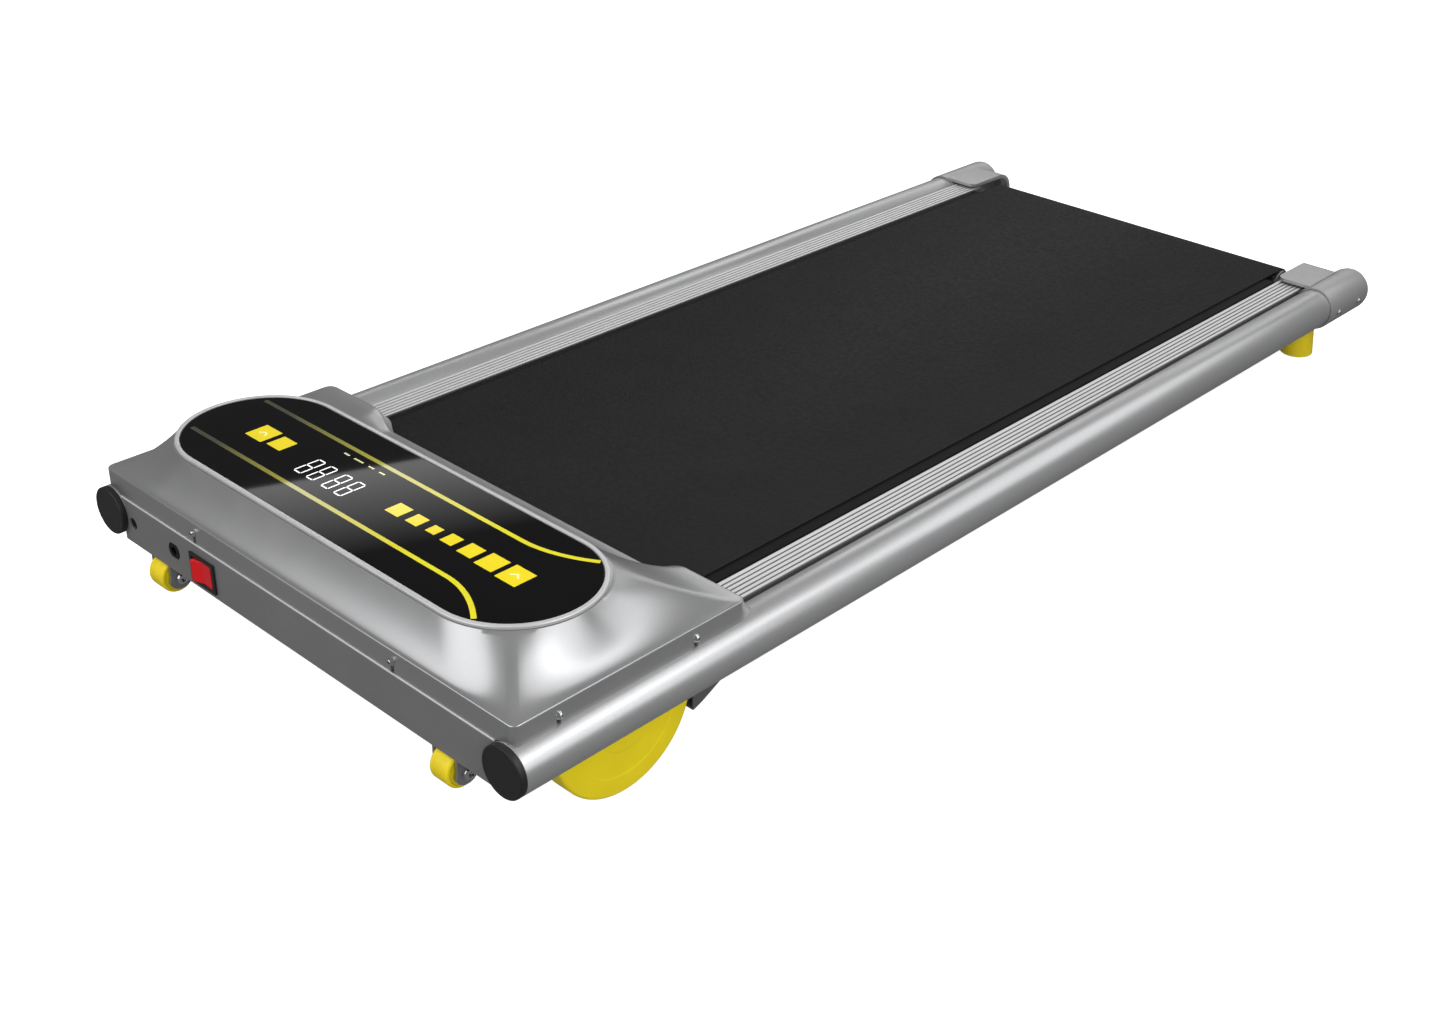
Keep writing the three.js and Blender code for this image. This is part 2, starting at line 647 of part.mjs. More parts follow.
function controlBoard() {
  const [x, y] = [[8, 90], [PAN.slopeFoot + 8, 172]];
  const base = TRAY.top + GAP;
  const posts = [x[0] + 6, x[1] - 6].flatMap((px) =>
    [y[0] + 6, y[1] - 6].map((py) => bar("z", 3, [base, base + 9], [px, py], 12)),
  );
  const sheet = block(x, y, [base + 8, base + 9.6]);
  const heatSink = block([x[0] + 4, x[0] + 30], [y[0] + 4, y[1] - 12], [base + 9, base + 34]);
  const fins = [0, 1, 2, 3].map((i) => {
    const left = x[0] + 7.5 + i * 6;
    return block([left, left + 2.5], [y[0] + 2, y[1] - 10], [base + 16, base + 40]);
  });
  const capacitors = [18, 42].map((place) => bar("z", 9, [base + 9, base + 38], [x[1] - 22, y[0] + place], 20));
  return join(sheet, cut(heatSink, ...fins), ...posts, ...capacitors);
}

// Belly pan: a shallow tub under the compartment, notched round both transport wheels.
function panProfile(inset) {
  const { bottom, front, slopeFoot, curveStart, curve, edge, rearFlange } = PAN;
  const rise = 26.6;
  const bend = arc([curveStart, bottom + curve], curve - inset, -90, -90 + rise, 6);
  const [endY, endZ] = bend.at(-1);
  const slope = Math.tan(THREE.MathUtils.degToRad(rise));
  const flange = edge + inset - 2;
  const flangeY = endY + (flange - endZ) / slope;
  const slopeStart = [slopeFoot + inset * 0.55, bottom + inset];
  return [[front + inset, edge + 1 - inset], slopeStart, ...bend, [flangeY, flange], [rearFlange, flange]];
}

function bellyPan() {
  const { halfWidth, wall, sideTop, edge, front, rearFlange } = PAN;
  const outside = [...panProfile(0), [rearFlange, sideTop], [front, sideTop]];
  const inside = [...panProfile(wall).slice(0, -1), [rearFlange + 5, edge], [rearFlange + 5, 40]];
  inside.push([front + wall, 40]);
  const tub = cut(
    pushed("x", outside, [-halfWidth, halfWidth]),
    pushed("x", inside, [-halfWidth + wall, halfWidth - wall]),
    block([-halfWidth - 1, halfWidth + 1], [285, rearFlange + 1], [edge, 40]),
  );
  const notches = [1, -1].map((side) => {
    const x = [side * (WHEEL.inner - 1.6), side * (halfWidth + 5)].sort((a, b) => a - b);
    return block(x, [WHEEL.y - WHEEL.radius - 6, WHEEL.y + WHEEL.radius + 6], [-200, 40]);
  });
  return cut(tub, ...notches);
}

// Motor cover. The rim is upright at the front and sides, and leans back behind the wings. From the rim
// the skin sweeps up to the console. Each rim point has its own point on the console's outline.
function consolePoint(radius, place) {
  const { y, halfStraight } = CONSOLE;
  if ("angle" in place) {
    const angle = THREE.MathUtils.degToRad(place.angle);
    return [halfStraight + radius * Math.cos(angle), y + radius * Math.sin(angle)];
  }
  return [place.x, y + (place.rear ? radius : -radius)];
}

function coverStations(inset) {
  const { halfWidth, front, wing, wingFoot, lip, lipFoot, corner } = COVER;
  const { rim, lip: lipHeight } = COVER_HEIGHT;
  const side = halfWidth - inset;
  const stations = [];
  const add = (x, y, height, foot, place) => stations.push({ x, y, height, foot, place });
  const spread = (steps, from, to, make) => {
    for (let i = 0; i < steps; i += 1) make(THREE.MathUtils.lerp(from, to, i / steps), i / steps);
  };
  const turnX = halfWidth - corner;
  const frontY = front + inset;
  const straight = CONSOLE.halfStraight;
  spread(6, 0, 187, (x, t) => add(x, frontY, rim, frontY, { x: straight * t }));
  spread(4, 187, turnX, (x, t) => {
    add(x, frontY, rim, frontY, { angle: THREE.MathUtils.lerp(-90, RIDGE_FRONT - 4, t) });
  });
  arc([turnX, front + corner], corner - inset, -90, 0, 4).slice(0, -1).forEach(([x, y], i) => {
    add(x, y, rim, y, { angle: RIDGE_FRONT - 4 + 2 * i });
  });
  spread(9, front + corner, wing - corner, (y, t) => {
    add(side, y, rim, y, { angle: THREE.MathUtils.lerp(RIDGE_FRONT + 4, RIDGE_REAR - 4, t) });
  });
  arc([turnX, wing - corner], corner - inset, 0, 90, 3).slice(0, -1).forEach(([x, y], i) => {
    add(x, y, rim, y + ((wingFoot - wing) * (i + 1)) / 3, { angle: RIDGE_REAR - 4 + 3 * i });
  });
  spread(4, turnX, 196, (x, t) => {
    add(x, wing - inset, rim, wingFoot - inset, { angle: THREE.MathUtils.lerp(RIDGE_REAR + 4, 86, t) });
  });
  spread(4, 196, 160, (x, t) => {
    const ease = t * t * (3 - 2 * t);
    const y = THREE.MathUtils.lerp(wing, lip, ease) - inset;
    const foot = THREE.MathUtils.lerp(wingFoot, lipFoot, ease) - inset;
    const place = { x: THREE.MathUtils.lerp(straight, 132, t), rear: true };
    add(x, y, THREE.MathUtils.lerp(rim, lipHeight, ease), foot, place);
  });
  spread(5, 160, 0, (x, t) => {
    add(x, lip - inset, lipHeight, lipFoot - inset, { x: 132 * (1 - t), rear: true });
  });
  add(0, lip - inset, lipHeight, lipFoot - inset, { x: 0, rear: true });
  return stations;
}

function coverSkin(inset, drop) {
  const half = coverStations(inset);
  const mirrored = half.slice(1, -1).reverse();
  const ringOf = (pointAt) => {
    const left = mirrored.map(pointAt).map(([x, y, z]) => new THREE.Vector3(-x, y, z));
    return [...half.map(pointAt).map((point) => new THREE.Vector3(...point)), ...left];
  };
  const { bottom, top, rim, shoulder } = COVER_HEIGHT;
  const consoleRadius = CONSOLE.glassRadius + CONSOLE.ringWidth + 1 - inset;
  const rings = [ringOf((at) => [at.x, at.foot, bottom - drop])];
  rings.push(ringOf((at) => {
    const lean = (at.foot - at.y) * 0.6;
    return [at.x, at.y + lean, at.height - (rim - shoulder) - lean - drop];
  }));
  for (const t of [0, 0.16, 0.34, 0.54, 0.74, 0.9, 1]) {
    rings.push(ringOf((at) => {
      const [x, y] = consolePoint(consoleRadius, at.place);
      const lift = t ** COVER_SWEEP;
      const z = THREE.MathUtils.lerp(at.height, top, lift) - drop;
      const start = t === 0 ? 0.012 : t;
      return [THREE.MathUtils.lerp(at.x, x, start), THREE.MathUtils.lerp(at.y, y, start), z];
    }));
  }
  return loft(rings);
}

function motorCover() {
  const tubes = [1, -1].map((side) =>
    bar("y", TUBE.radius + GAP, [-10, 400], [side * TUBE.x, 0], ROUND),
  );
  const beltRoom = block([0.5 - RAIL.inner, RAIL.inner - 0.5], [200, 300], [-40, BELT.top + 3.4]);
  const opening = pushed("z", stadium(CONSOLE_OPENING), [40, 100]);
  const { frontX, sideYs, z, slot } = COVER_SCREW;
  const frontSlots = [1, -1].map((side) => {
    const x = [side * frontX - slot, side * frontX + slot];
    return block(x, [0, COVER.front + COVER_WALL + 0.2], [0, z + slot]);
  });
  const sideSlots = [1, -1].flatMap((side) => sideYs.map((y) => {
    const wall = [side * (COVER.halfWidth - COVER_WALL - 0.2), side * (COVER.halfWidth + 5)];
    return block(wall.sort((a, b) => a - b), [y - slot, y + slot], [0, z + slot]);
  }));
  const shell = cut(coverSkin(0, 0), coverSkin(COVER_WALL, COVER_WALL));
  return cut(shell, ...tubes, beltRoom, opening, ...frontSlots, ...sideSlots);
}

function consoleRing() {
  const { glassRadius, ringWidth, ringTop } = CONSOLE;
  const inner = new THREE.Path(stadium(glassRadius + 0.4).map(([x, y]) => new THREE.Vector2(x, y)));
  return pushed("z", stadium(glassRadius + ringWidth), [COVER_HEIGHT.top + GAP, ringTop], [inner]);
}

function consoleGlass() {
  const { glassRadius, glassTop } = CONSOLE;
  return pushed("z", stadium(glassRadius), [COVER_HEIGHT.top + GAP, glassTop]);
}

function displayBoard() {
  const top = COVER_HEIGHT.top - 1;
  const { y } = CONSOLE;
  const sheet = block([-170, 170], [y - 40, y + 40], [top - 9, top - 7.4]);
  const digits = block([-140, -60], [y - 22, y + 22], [top - 8, top]);
  const socket = block([100, 130], [y - 8, y + 8], [top - 16, top - 8]);
  return join(sheet, digits, socket);
}

// Places every piece.
placePair(deck, "side_tube", sideTube(), "silver");
placePair(deck, "front_tube_cap", frontTubeCap(), "blackPlastic");
placePair(deck, "rear_end_cap", rearEndCap(), "greyPlastic");
CAP_SCREW.ys.forEach((y, i) => {
  const at = TUBE.x + SLEEVE_RADIUS + GAP;
  const screw = domedScrew(at, y, CAP_SCREW.z, { ...CAP_SCREW, shank: 3.5 });
  placePair(deck, `cap_screw_${i ? "rear" : "front"}`, screw, "chrome");
});
placePair(deck, "step_rail", stepRail(), "aluminium");
["front", "middle", "rear"].forEach((where, i) => {
  place(deck, `cross_member_${where}`, crossMember(CROSS_MEMBER.ys[i]), "greySteel");
});
place(deck, "rear_foot_bar", footBar(), "greySteel");

place(deck, "front_cross_plate", frontCrossPlate(), "greySteel");
place(deck, "power_switch_housing", switchHousing(), "blackPlastic");
place(deck, "power_switch_rocker", switchRocker(), "redPlastic");
place(deck, "cord_grommet", cordGrommet(), "blackPlastic");
place(deck, "overload_breaker", overloadBreaker(), "blackPlastic");
place(deck, "breaker_reset_button", resetButton(), "blackPlastic");
["right", "left"].forEach((side) => {
  place(deck, `${side}_caster_wheel`, casterWheel(CASTER[side]), "yellow");
  place(deck, `${side}_caster_bolt`, casterBolt(CASTER[side]), "chrome");
});

placePair(treadmill, "transport_wheel", transportWheel(), "yellow");
placePair(deck, "wheel_axle", wheelAxle(), "steel");
placePair(deck, "wheel_bracket", wheelBracket(), "greySteel");
placePair(treadmill, "rear_foot", rearFoot(), "yellow");

place(deck, "front_roller", roller(ROLLER.front, true), "steel");
place(deck, "rear_roller", roller(ROLLER.rear, false), "steel");
place(deck, "front_roller_axle", rollerAxle(ROLLER.front), "steel");
place(deck, "rear_roller_axle", rollerAxle(ROLLER.rear), "steel");
placePair(deck, "front_roller_bracket", frontRollerBracket(), "greySteel");
placePair(deck, "tension_bolt", tensionBolt(), "steel");
place(deck, "walking_belt", walkingBelt(), "beltRubber");
place(deck, "deck_board", deckBoard(), "board");

place(deck, "drive_motor", driveMotor(), "greySteel");
place(deck, "motor_pulley", motorPulley(), "steel");
place(deck, "drive_belt", driveBelt(), "beltRubber");
place(deck, "motor_tray", motorTray(), "greySteel");
place(deck, "control_board", controlBoard(), "circuit");
place(deck, "belly_pan", bellyPan(), "darkPlastic");

place(deck, "motor_cover", motorCover(), "silver");
place(deck, "console_ring", consoleRing(), "silver");
place(deck, "console_glass", consoleGlass(), "glass");
place(deck, "display_board", displayBoard(), "circuit");
const coverScrew = { ...COVER_SCREW, shankRadius: 1.7, shank: 3.2 };
COVER_SCREW.sideYs.forEach((y, i) => {
  const screw = domedScrew(COVER.halfWidth + 0.2, y, COVER_SCREW.z, coverScrew);
  placePair(deck, `cover_screw_${i ? "rear" : "middle"}`, screw, "chrome");
});
["right", "left"].forEach((side, i) => {
  const screw = domedScrew(-COVER.front + 0.2, 0, 0, coverScrew);
  const mesh = place(deck, `${side}_cover_screw_front`, screw, "chrome");
  mesh.rotation.z = -Math.PI / 2;
  mesh.position.set(COVER_SCREW.frontX * (i ? -1 : 1), 0, COVER_SCREW.z);
});

// The origin lies on the floor under the middle of the whole machine.
const middle = new THREE.Box3().setFromObject(treadmill).getCenter(new THREE.Vector3());
treadmill.position.y = -middle.y;

export default treadmill;
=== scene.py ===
"""Looks of a low under-desk treadmill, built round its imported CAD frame.

Lengths in the shape functions are millimetres in the deck's own sloping frame: +X right, +Y to the
rear, +Z up, y = 0 just in front of the side tubes and z = 0 on their centre line. Places come from the
CAD nodes. Each piece is turned into the row frame, in metres, when it is added to the scene. The
transport wheels and the rear feet are built upright, in millimetres in the row frame.
"""

import math

import bmesh
import bpy
from mathutils import Matrix, Vector


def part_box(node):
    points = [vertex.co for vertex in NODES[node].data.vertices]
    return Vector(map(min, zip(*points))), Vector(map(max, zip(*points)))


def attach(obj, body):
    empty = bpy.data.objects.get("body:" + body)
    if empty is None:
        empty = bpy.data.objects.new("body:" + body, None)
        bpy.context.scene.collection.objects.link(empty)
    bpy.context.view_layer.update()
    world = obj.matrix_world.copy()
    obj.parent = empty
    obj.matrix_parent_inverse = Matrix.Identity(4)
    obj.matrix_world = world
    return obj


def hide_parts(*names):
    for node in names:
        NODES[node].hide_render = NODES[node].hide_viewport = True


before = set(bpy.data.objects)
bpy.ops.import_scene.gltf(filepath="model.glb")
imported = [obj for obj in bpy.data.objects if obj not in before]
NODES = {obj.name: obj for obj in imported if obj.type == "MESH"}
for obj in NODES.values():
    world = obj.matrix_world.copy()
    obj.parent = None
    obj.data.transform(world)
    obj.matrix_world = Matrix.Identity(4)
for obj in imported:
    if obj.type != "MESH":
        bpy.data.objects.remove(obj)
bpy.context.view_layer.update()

MM = 0.001
# Driving dimensions. Those of one sub-part only stand beside it.
TUBE_FRONT = 3.4  # the tubes' front ends lie this far behind y = 0
RAIL_RIBS = 6
RAIL_GROOVE = 1.9
PLATE_TOP = 18.2
SIDES = {"right": 1, "left": -1}


# ---------------------------------------------------------------- places taken from the CAD frame
def centre(node):
    low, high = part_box(node)
    return (low + high) / 2


def deck_axes():
    """The deck's own frame: it lies along the line from the front roller to the rear roller."""
    along = centre("rear_roller") - centre("front_roller")
    along.x = 0
    along.normalize()
    right = Vector((1, 0, 0))
    turn = Matrix((right, along, right.cross(along))).transposed()
    tube = [turn.inverted() @ v.co for v in NODES["right_side_tube"].data.vertices]
    front = min(p.y for p in tube) - TUBE_FRONT * MM
    middle = (min(p.z for p in tube) + max(p.z for p in tube)) / 2
    return turn.to_4x4() @ Matrix.Translation((0, front, middle))


DECK = deck_axes() @ Matrix.Scale(MM, 4)
TO_DECK = DECK.inverted()


def span(node):
    """A CAD node's (low, high) along x, y and z in the deck's frame, in millimetres."""
    points = [TO_DECK @ v.co for v in NODES[node].data.vertices]
    return [(min(p[i] for p in points), max(p[i] for p in points)) for i in range(3)]


def middle_of(pair):
    return (pair[0] + pair[1]) / 2


def half_of(pair):
    return (pair[1] - pair[0]) / 2


# ---------------------------------------------------------------- outlines
def arc(u, v, radius, start, end, steps):
    """Points on an arc about (u, v), from one angle to another in degrees."""
    points = []
    for i in range(steps + 1):
        angle = math.radians(start + (end - start) * i / steps)
        points.append((u + radius * math.cos(angle), v + radius * math.sin(angle)))
    return points


def rounded(corners, steps=5, closed=True):
    """An outline through corners (u, v, radius), each rounded to its own radius."""
    points = []
    count = len(corners)
    for i, (u, v, radius) in enumerate(corners):
        at = Vector((u, v))
        if radius == 0 or (not closed and i in (0, count - 1)):
            points.append((u, v))
            continue
        before = (Vector(corners[i - 1][:2]) - at).normalized()
        after = (Vector(corners[(i + 1) % count][:2]) - at).normalized()
        half = before.angle(after) / 2
        reach = radius / math.tan(half)
        pivot = at + (before + after).normalized() * (radius / math.sin(half))
        first = at + before * reach - pivot
        last = at + after * reach - pivot
        sweep = first.angle_signed(last)
        for k in range(steps + 1):
            turn = Matrix.Rotation(-sweep * k / steps, 2)
            points.append(tuple(pivot + turn @ first))
    return points


def stadium(radius, steps=40):
    """The long outline of the console, with two half-round ends."""
    right = arc(CONSOLE_STRAIGHT, CONSOLE_Y, radius, -90, 90, steps)
    left = arc(-CONSOLE_STRAIGHT, CONSOLE_Y, radius, 90, 270, steps)
    return right + left


# ---------------------------------------------------------------- mesh code
PLACE = {
    "x": lambda along, u, v: (along, u, v),
    "y": lambda along, u, v: (u, along, v),
    "z": lambda along, u, v: (u, v, along),
}


def lathe(profile, axis, at, segments=96):
    """A turned solid from a profile of (radius, place along the axis). The axis passes through at."""
    mesh = bmesh.new()
    rings = []
    for radius, along in profile:
        if radius < 1e-6:
            rings.append([mesh.verts.new(PLACE[axis](along, *at))])
            continue
        ring = []
        for i in range(segments):
            angle = 2 * math.pi * i / segments
            u = at[0] + radius * math.cos(angle)
            v = at[1] + radius * math.sin(angle)
            ring.append(mesh.verts.new(PLACE[axis](along, u, v)))
        rings.append(ring)
    pairs = list(zip(rings, rings[1:]))
    if len(rings[0]) > 1 and len(rings[-1]) > 1:
        pairs.append((rings[-1], rings[0]))
    for low, high in pairs:
        for i in range(segments):
            k = (i + 1) % segments
            corners = [low[i % len(low)], low[k % len(low)], high[k % len(high)], high[i % len(high)]]
            mesh.faces.new(list(dict.fromkeys(corners)))
    bmesh.ops.recalc_face_normals(mesh, faces=mesh.faces)
    return mesh


def prism(outline, axis, ends):
    """An outline pushed along an axis from ends[0] to ends[1]."""
    mesh = bmesh.new()
    low = [mesh.verts.new(PLACE[axis](ends[0], u, v)) for u, v in outline]
    high = [mesh.verts.new(PLACE[axis](ends[1], u, v)) for u, v in outline]
    mesh.faces.new(low[::-1])
    mesh.faces.new(high)
    count = len(outline)
    for i in range(count):
        k = (i + 1) % count
        mesh.faces.new((low[i], low[k], high[k], high[i]))
    bmesh.ops.recalc_face_normals(mesh, faces=mesh.faces)
    return mesh


def swept(section, steps):
    """A closed loop of rings: section(i) gives the ring of 3-D points at step i of the path."""
    mesh = bmesh.new()
    rings = [[mesh.verts.new(p) for p in section(i)] for i in range(steps)]
    for i in range(steps):
        ring, following = rings[i], rings[(i + 1) % steps]
        for j in range(len(ring)):
            k = (j + 1) % len(ring)
            mesh.faces.new((ring[j], ring[k], following[k], following[j]))
    bmesh.ops.recalc_face_normals(mesh, faces=mesh.faces)
    return mesh


def joined(*meshes):
    """Several closed meshes in one."""
    whole = bmesh.new()
    for part in meshes:
        data = bpy.data.meshes.new("part")
        part.to_mesh(data)
        part.free()
        whole.from_mesh(data)
        bpy.data.meshes.remove(data)
    return whole


def temporary(mesh):
    """An object that holds a mesh while a modifier works on it."""
    data = bpy.data.meshes.new("temporary")
    mesh.to_mesh(data)
    mesh.free()
    made = bpy.data.objects.new("temporary", data)
    bpy.context.scene.collection.objects.link(made)
    return made


def thickened(mesh, thickness):
    """A sheet given a thickness on its inner side."""
    body = temporary(mesh)
    step = body.modifiers.new("wall", "SOLIDIFY")
    step.thickness = thickness
    step.offset = -1
    return applied(body)


def applied(body, *others):
    """The mesh of a temporary object with its modifiers applied. The objects are removed."""
    graph = bpy.context.evaluated_depsgraph_get()
    data = bpy.data.meshes.new_from_object(body.evaluated_get(graph))
    result = bmesh.new()
    result.from_mesh(data)
    bpy.data.meshes.remove(data)
    for made in (body, *others):
        old = made.data
        bpy.data.objects.remove(made)
        bpy.data.meshes.remove(old)
    return result


def carved(mesh, *tools):
    """The mesh with each tool cut out of it."""
    body = temporary(mesh)
    cutters = [temporary(tool) for tool in tools]
    for cutter in cutters:
        step = body.modifiers.new("cut", "BOOLEAN")
        step.object = cutter
        step.operation = "DIFFERENCE"
        step.solver = "EXACT"
    return applied(body, *cutters)


def cad_copy(node):
    """A copy of a CAD node's mesh in the deck's frame, with its flat faces whole again."""
    mesh = bmesh.new()
    mesh.from_mesh(NODES[node].data)
    bmesh.ops.transform(mesh, matrix=TO_DECK, verts=mesh.verts)
    bmesh.ops.remove_doubles(mesh, verts=mesh.verts, dist=0.005)
    bmesh.ops.dissolve_limit(mesh, angle_limit=math.radians(1), verts=mesh.verts, edges=mesh.edges)
    return mesh


def weigh_edges(mesh, weight_at, sharp=30):
    """Gives each sharp edge the bevel weight that weight_at says for its middle point."""
    layer = mesh.edges.layers.float.new("bevel_weight_edge")
    for edge in mesh.edges:
        if len(edge.link_faces) == 2 and edge.calc_face_angle(0) > math.radians(sharp):
            edge[layer] = weight_at((edge.verts[0].co + edge.verts[1].co) / 2)
    return mesh


def add(name, mesh, material, body="frame", stands_for=(), slot=None,
        bevel=0, smooth=32, place=DECK, weights=None):
    """Puts a piece in the scene on its CAD body. The bevel, in millimetres, rounds its sharp edges."""
    if place.determinant() < 0:
        bmesh.ops.reverse_faces(mesh, faces=mesh.faces)
    if weights:
        weigh_edges(mesh, weights)
    data = bpy.data.meshes.new(name)
    mesh.to_mesh(data)
    mesh.free()
    data.transform(place)
    data.shade_smooth()
    data.set_sharp_from_angle(angle=math.radians(smooth))
    data.materials.append(material)
    piece = bpy.data.objects.new(name, data)
    bpy.context.scene.collection.objects.link(piece)
    if bevel:
        step = piece.modifiers.new("edges", "BEVEL")
        step.width = bevel * MM
        step.segments = 3
        step.limit_method = "WEIGHT" if weights else "ANGLE"
        step.angle_limit = math.radians(30)
        step.harden_normals = True
    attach(piece, body)
    if stands_for:
        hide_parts(*([stands_for] if isinstance(stands_for, str) else stands_for))
    return piece


MIRROR = DECK @ Matrix.Scale(-1, 4, (1, 0, 0))


def add_pair(name, build, material, **options):
    """A piece built for the right side, and its mirror image on the left."""
    for side, sign in SIDES.items():
        node = f"{side}_{name}"
        place = DECK if sign > 0 else MIRROR
        add(f"{node}_skin", build(), material, stands_for=node, place=place, **options)


def refine(node, material, body="frame", **options):
    """The CAD node's own shape with rounded edges."""
    add(f"{node}_skin", cad_copy(node), material, body=body, stands_for=node, **options)


# ---------------------------------------------------------------- materials
class Finish:
    """One procedural material. Patterns are in the object's own coordinates, in metres."""

    def __init__(self, name, colour, roughness, **sockets):
        self.material = bpy.data.materials.new(name)
        self.material.use_nodes = True
        self.tree = self.material.node_tree
        self.shader = self.tree.nodes["Principled BSDF"]
        self.colour = (*colour, 1)
        self.set("Base Color", self.colour)
        self.set("Roughness", roughness)
        self.roughness = roughness
        for socket, value in sockets.items():
            self.set(socket.replace("_", " "), value)
        self.coordinates = self.node("ShaderNodeTexCoord").outputs["Object"]
        self.height = None

    def across(self, axis):
        """One of the object coordinates by itself."""
        split = self.node("ShaderNodeSeparateXYZ")
        self.link(self.coordinates, split.inputs["Vector"])
        return split.outputs[axis]

    def set(self, socket, value):
        self.shader.inputs[socket].default_value = value

    def node(self, kind, **settings):
        made = self.tree.nodes.new(kind)
        for key, value in settings.items():
            setattr(made, key, value)
        return made

    def link(self, output, target):
        self.tree.links.new(output, target)

    def stretched(self, scale):
        """The coordinates multiplied by a scale for each axis."""
        mapping = self.node("ShaderNodeMapping")
        mapping.inputs["Scale"].default_value = scale
        self.link(self.coordinates, mapping.inputs["Vector"])
        return mapping.outputs["Vector"]

    def noise(self, scale, detail=3, stretch=(1, 1, 1), roughness=0.5):
        made = self.node("ShaderNodeTexNoise")
        made.inputs["Scale"].default_value = scale
        made.inputs["Detail"].default_value = detail
        made.inputs["Roughness"].default_value = roughness
        self.link(self.stretched(stretch), made.inputs["Vector"])
        return made.outputs["Fac"]

    def between(self, value, low, high, out_low=0.0, out_high=1.0):
        made = self.node("ShaderNodeMapRange")
        limits = {"From Min": low, "From Max": high, "To Min": out_low, "To Max": out_high}
        for key, number in limits.items():
            made.inputs[key].default_value = number
        self.link(value, made.inputs["Value"])
        return made.outputs["Result"]

    def math(self, operation, a, b):
        made = self.node("ShaderNodeMath", operation=operation)
        for socket, value in zip(made.inputs, (a, b)):
            if isinstance(value, (int, float)):
                socket.default_value = value
            else:
                self.link(value, socket)
        return made.outputs["Value"]

    def tint(self, value, other):
        """Mixes the colour so far with another one where value is high."""
        made = self.node("ShaderNodeMix", data_type="RGBA")
        source = self.shader.inputs["Base Color"]
        if source.is_linked:
            self.link(source.links[0].from_socket, made.inputs["A"])
        else:
            made.inputs["A"].default_value = self.colour
        made.inputs["B"].default_value = (*other, 1)
        self.link(value, made.inputs["Factor"])
        self.link(made.outputs["Result"], source)

    def mottle(self, scale, spread, **options):
        """Uneven colour: lighter and darker by the given share."""
        darker = [c * (1 - spread) for c in self.colour[:3]]
        self.tint(self.between(self.noise(scale, **options), 0.3, 0.7), darker)

    def uneven_gloss(self, scale, spread, **options):
        """Roughness that wanders by the spread to both sides."""
        value = self.noise(scale, **options)
        low, high = self.roughness - spread, self.roughness + spread
        self.link(self.between(value, 0.3, 0.7, low, high), self.shader.inputs["Roughness"])

    def relief(self, value, distance, strength=1.0):
        """Adds bump of the given height in millimetres."""
        bump = self.node("ShaderNodeBump")
        bump.inputs["Distance"].default_value = distance * MM
        bump.inputs["Strength"].default_value = strength
        self.link(value, bump.inputs["Height"])
        if self.height:
            self.link(self.height, bump.inputs["Normal"])
        self.height = bump.outputs["Normal"]
        self.link(self.height, self.shader.inputs["Normal"])


def silver_paint():
    """Fine metallic paint with a few lighter flakes."""
    finish = Finish("silver_paint", (0.52, 0.523, 0.53), 0.31, Metallic=0.84, Coat_Weight=0.1)
    finish.set("Coat Roughness", 0.2)
    finish.mottle(9, 0.05)
    finish.tint(finish.between(finish.noise(1100, detail=1), 0.6, 0.8, 0, 0.5), (0.6, 0.605, 0.61))
    finish.uneven_gloss(30, 0.02)
    finish.relief(finish.noise(700, detail=1), 0.004)
    return finish.material


def tube_paint():
    """Metallic paint on drawn tube: its colour and gloss wander along the tube."""
    finish = Finish("tube_paint", (0.58, 0.583, 0.59), 0.34, Metallic=0.78, Coat_Weight=0.15)
    finish.set("Coat Roughness", 0.2)
    finish.mottle(14, 0.06, stretch=(1, 0.15, 1))
    finish.uneven_gloss(60, 0.04, stretch=(1, 0.1, 1))
    finish.tint(finish.between(finish.noise(900, detail=1), 0.58, 0.75, 0, 0.6), (0.42, 0.424, 0.43))
    return finish.material


def grey_paint(name, colour=(0.24, 0.241, 0.245)):
    """Powder coat with a fine orange-peel surface."""
    finish = Finish(name, colour, 0.42, Metallic=0.4, Specular_IOR_Level=0.45)
    finish.mottle(20, 0.08)
    finish.uneven_gloss(80, 0.06)
    finish.relief(finish.noise(1700, detail=4, roughness=0.65), 0.03)
    return finish


def plate_paint_with_painted_highlight():
    """The frame's grey paint, with a painted highlight: a pale band along the fold at the top of the front
    plate.
    """
    fold = DECK @ Vector((0, span("front_cross_plate")[1][0], PLATE_TOP))
    finish = grey_paint("plate_paint_with_painted_highlight")
    # Painted highlight: the band just below the fold and just ahead of the plate's face is tinted pale,
    # standing in for the light the fold catches.
    high = finish.between(finish.across("Z"), fold.z - 1.6 * MM, fold.z - 1.0 * MM)
    ahead = finish.between(finish.across("Y"), fold.y + 1.3 * MM, fold.y + 0.8 * MM)
    finish.tint(finish.math("MULTIPLY", high, ahead), (0.8, 0.8, 0.8))
    return finish.material


def moulded_plastic(name, colour, roughness=0.45, grain=2600, height=0.02, **sockets):
    finish = Finish(name, colour, roughness, **sockets)
    finish.mottle(25, 0.07)
    finish.uneven_gloss(120, 0.05)
    cells = finish.node("ShaderNodeTexVoronoi", feature="F1")
    cells.inputs["Scale"].default_value = grain
    finish.link(finish.coordinates, cells.inputs["Vector"])
    finish.relief(cells.outputs["Distance"], height)
    return finish.material


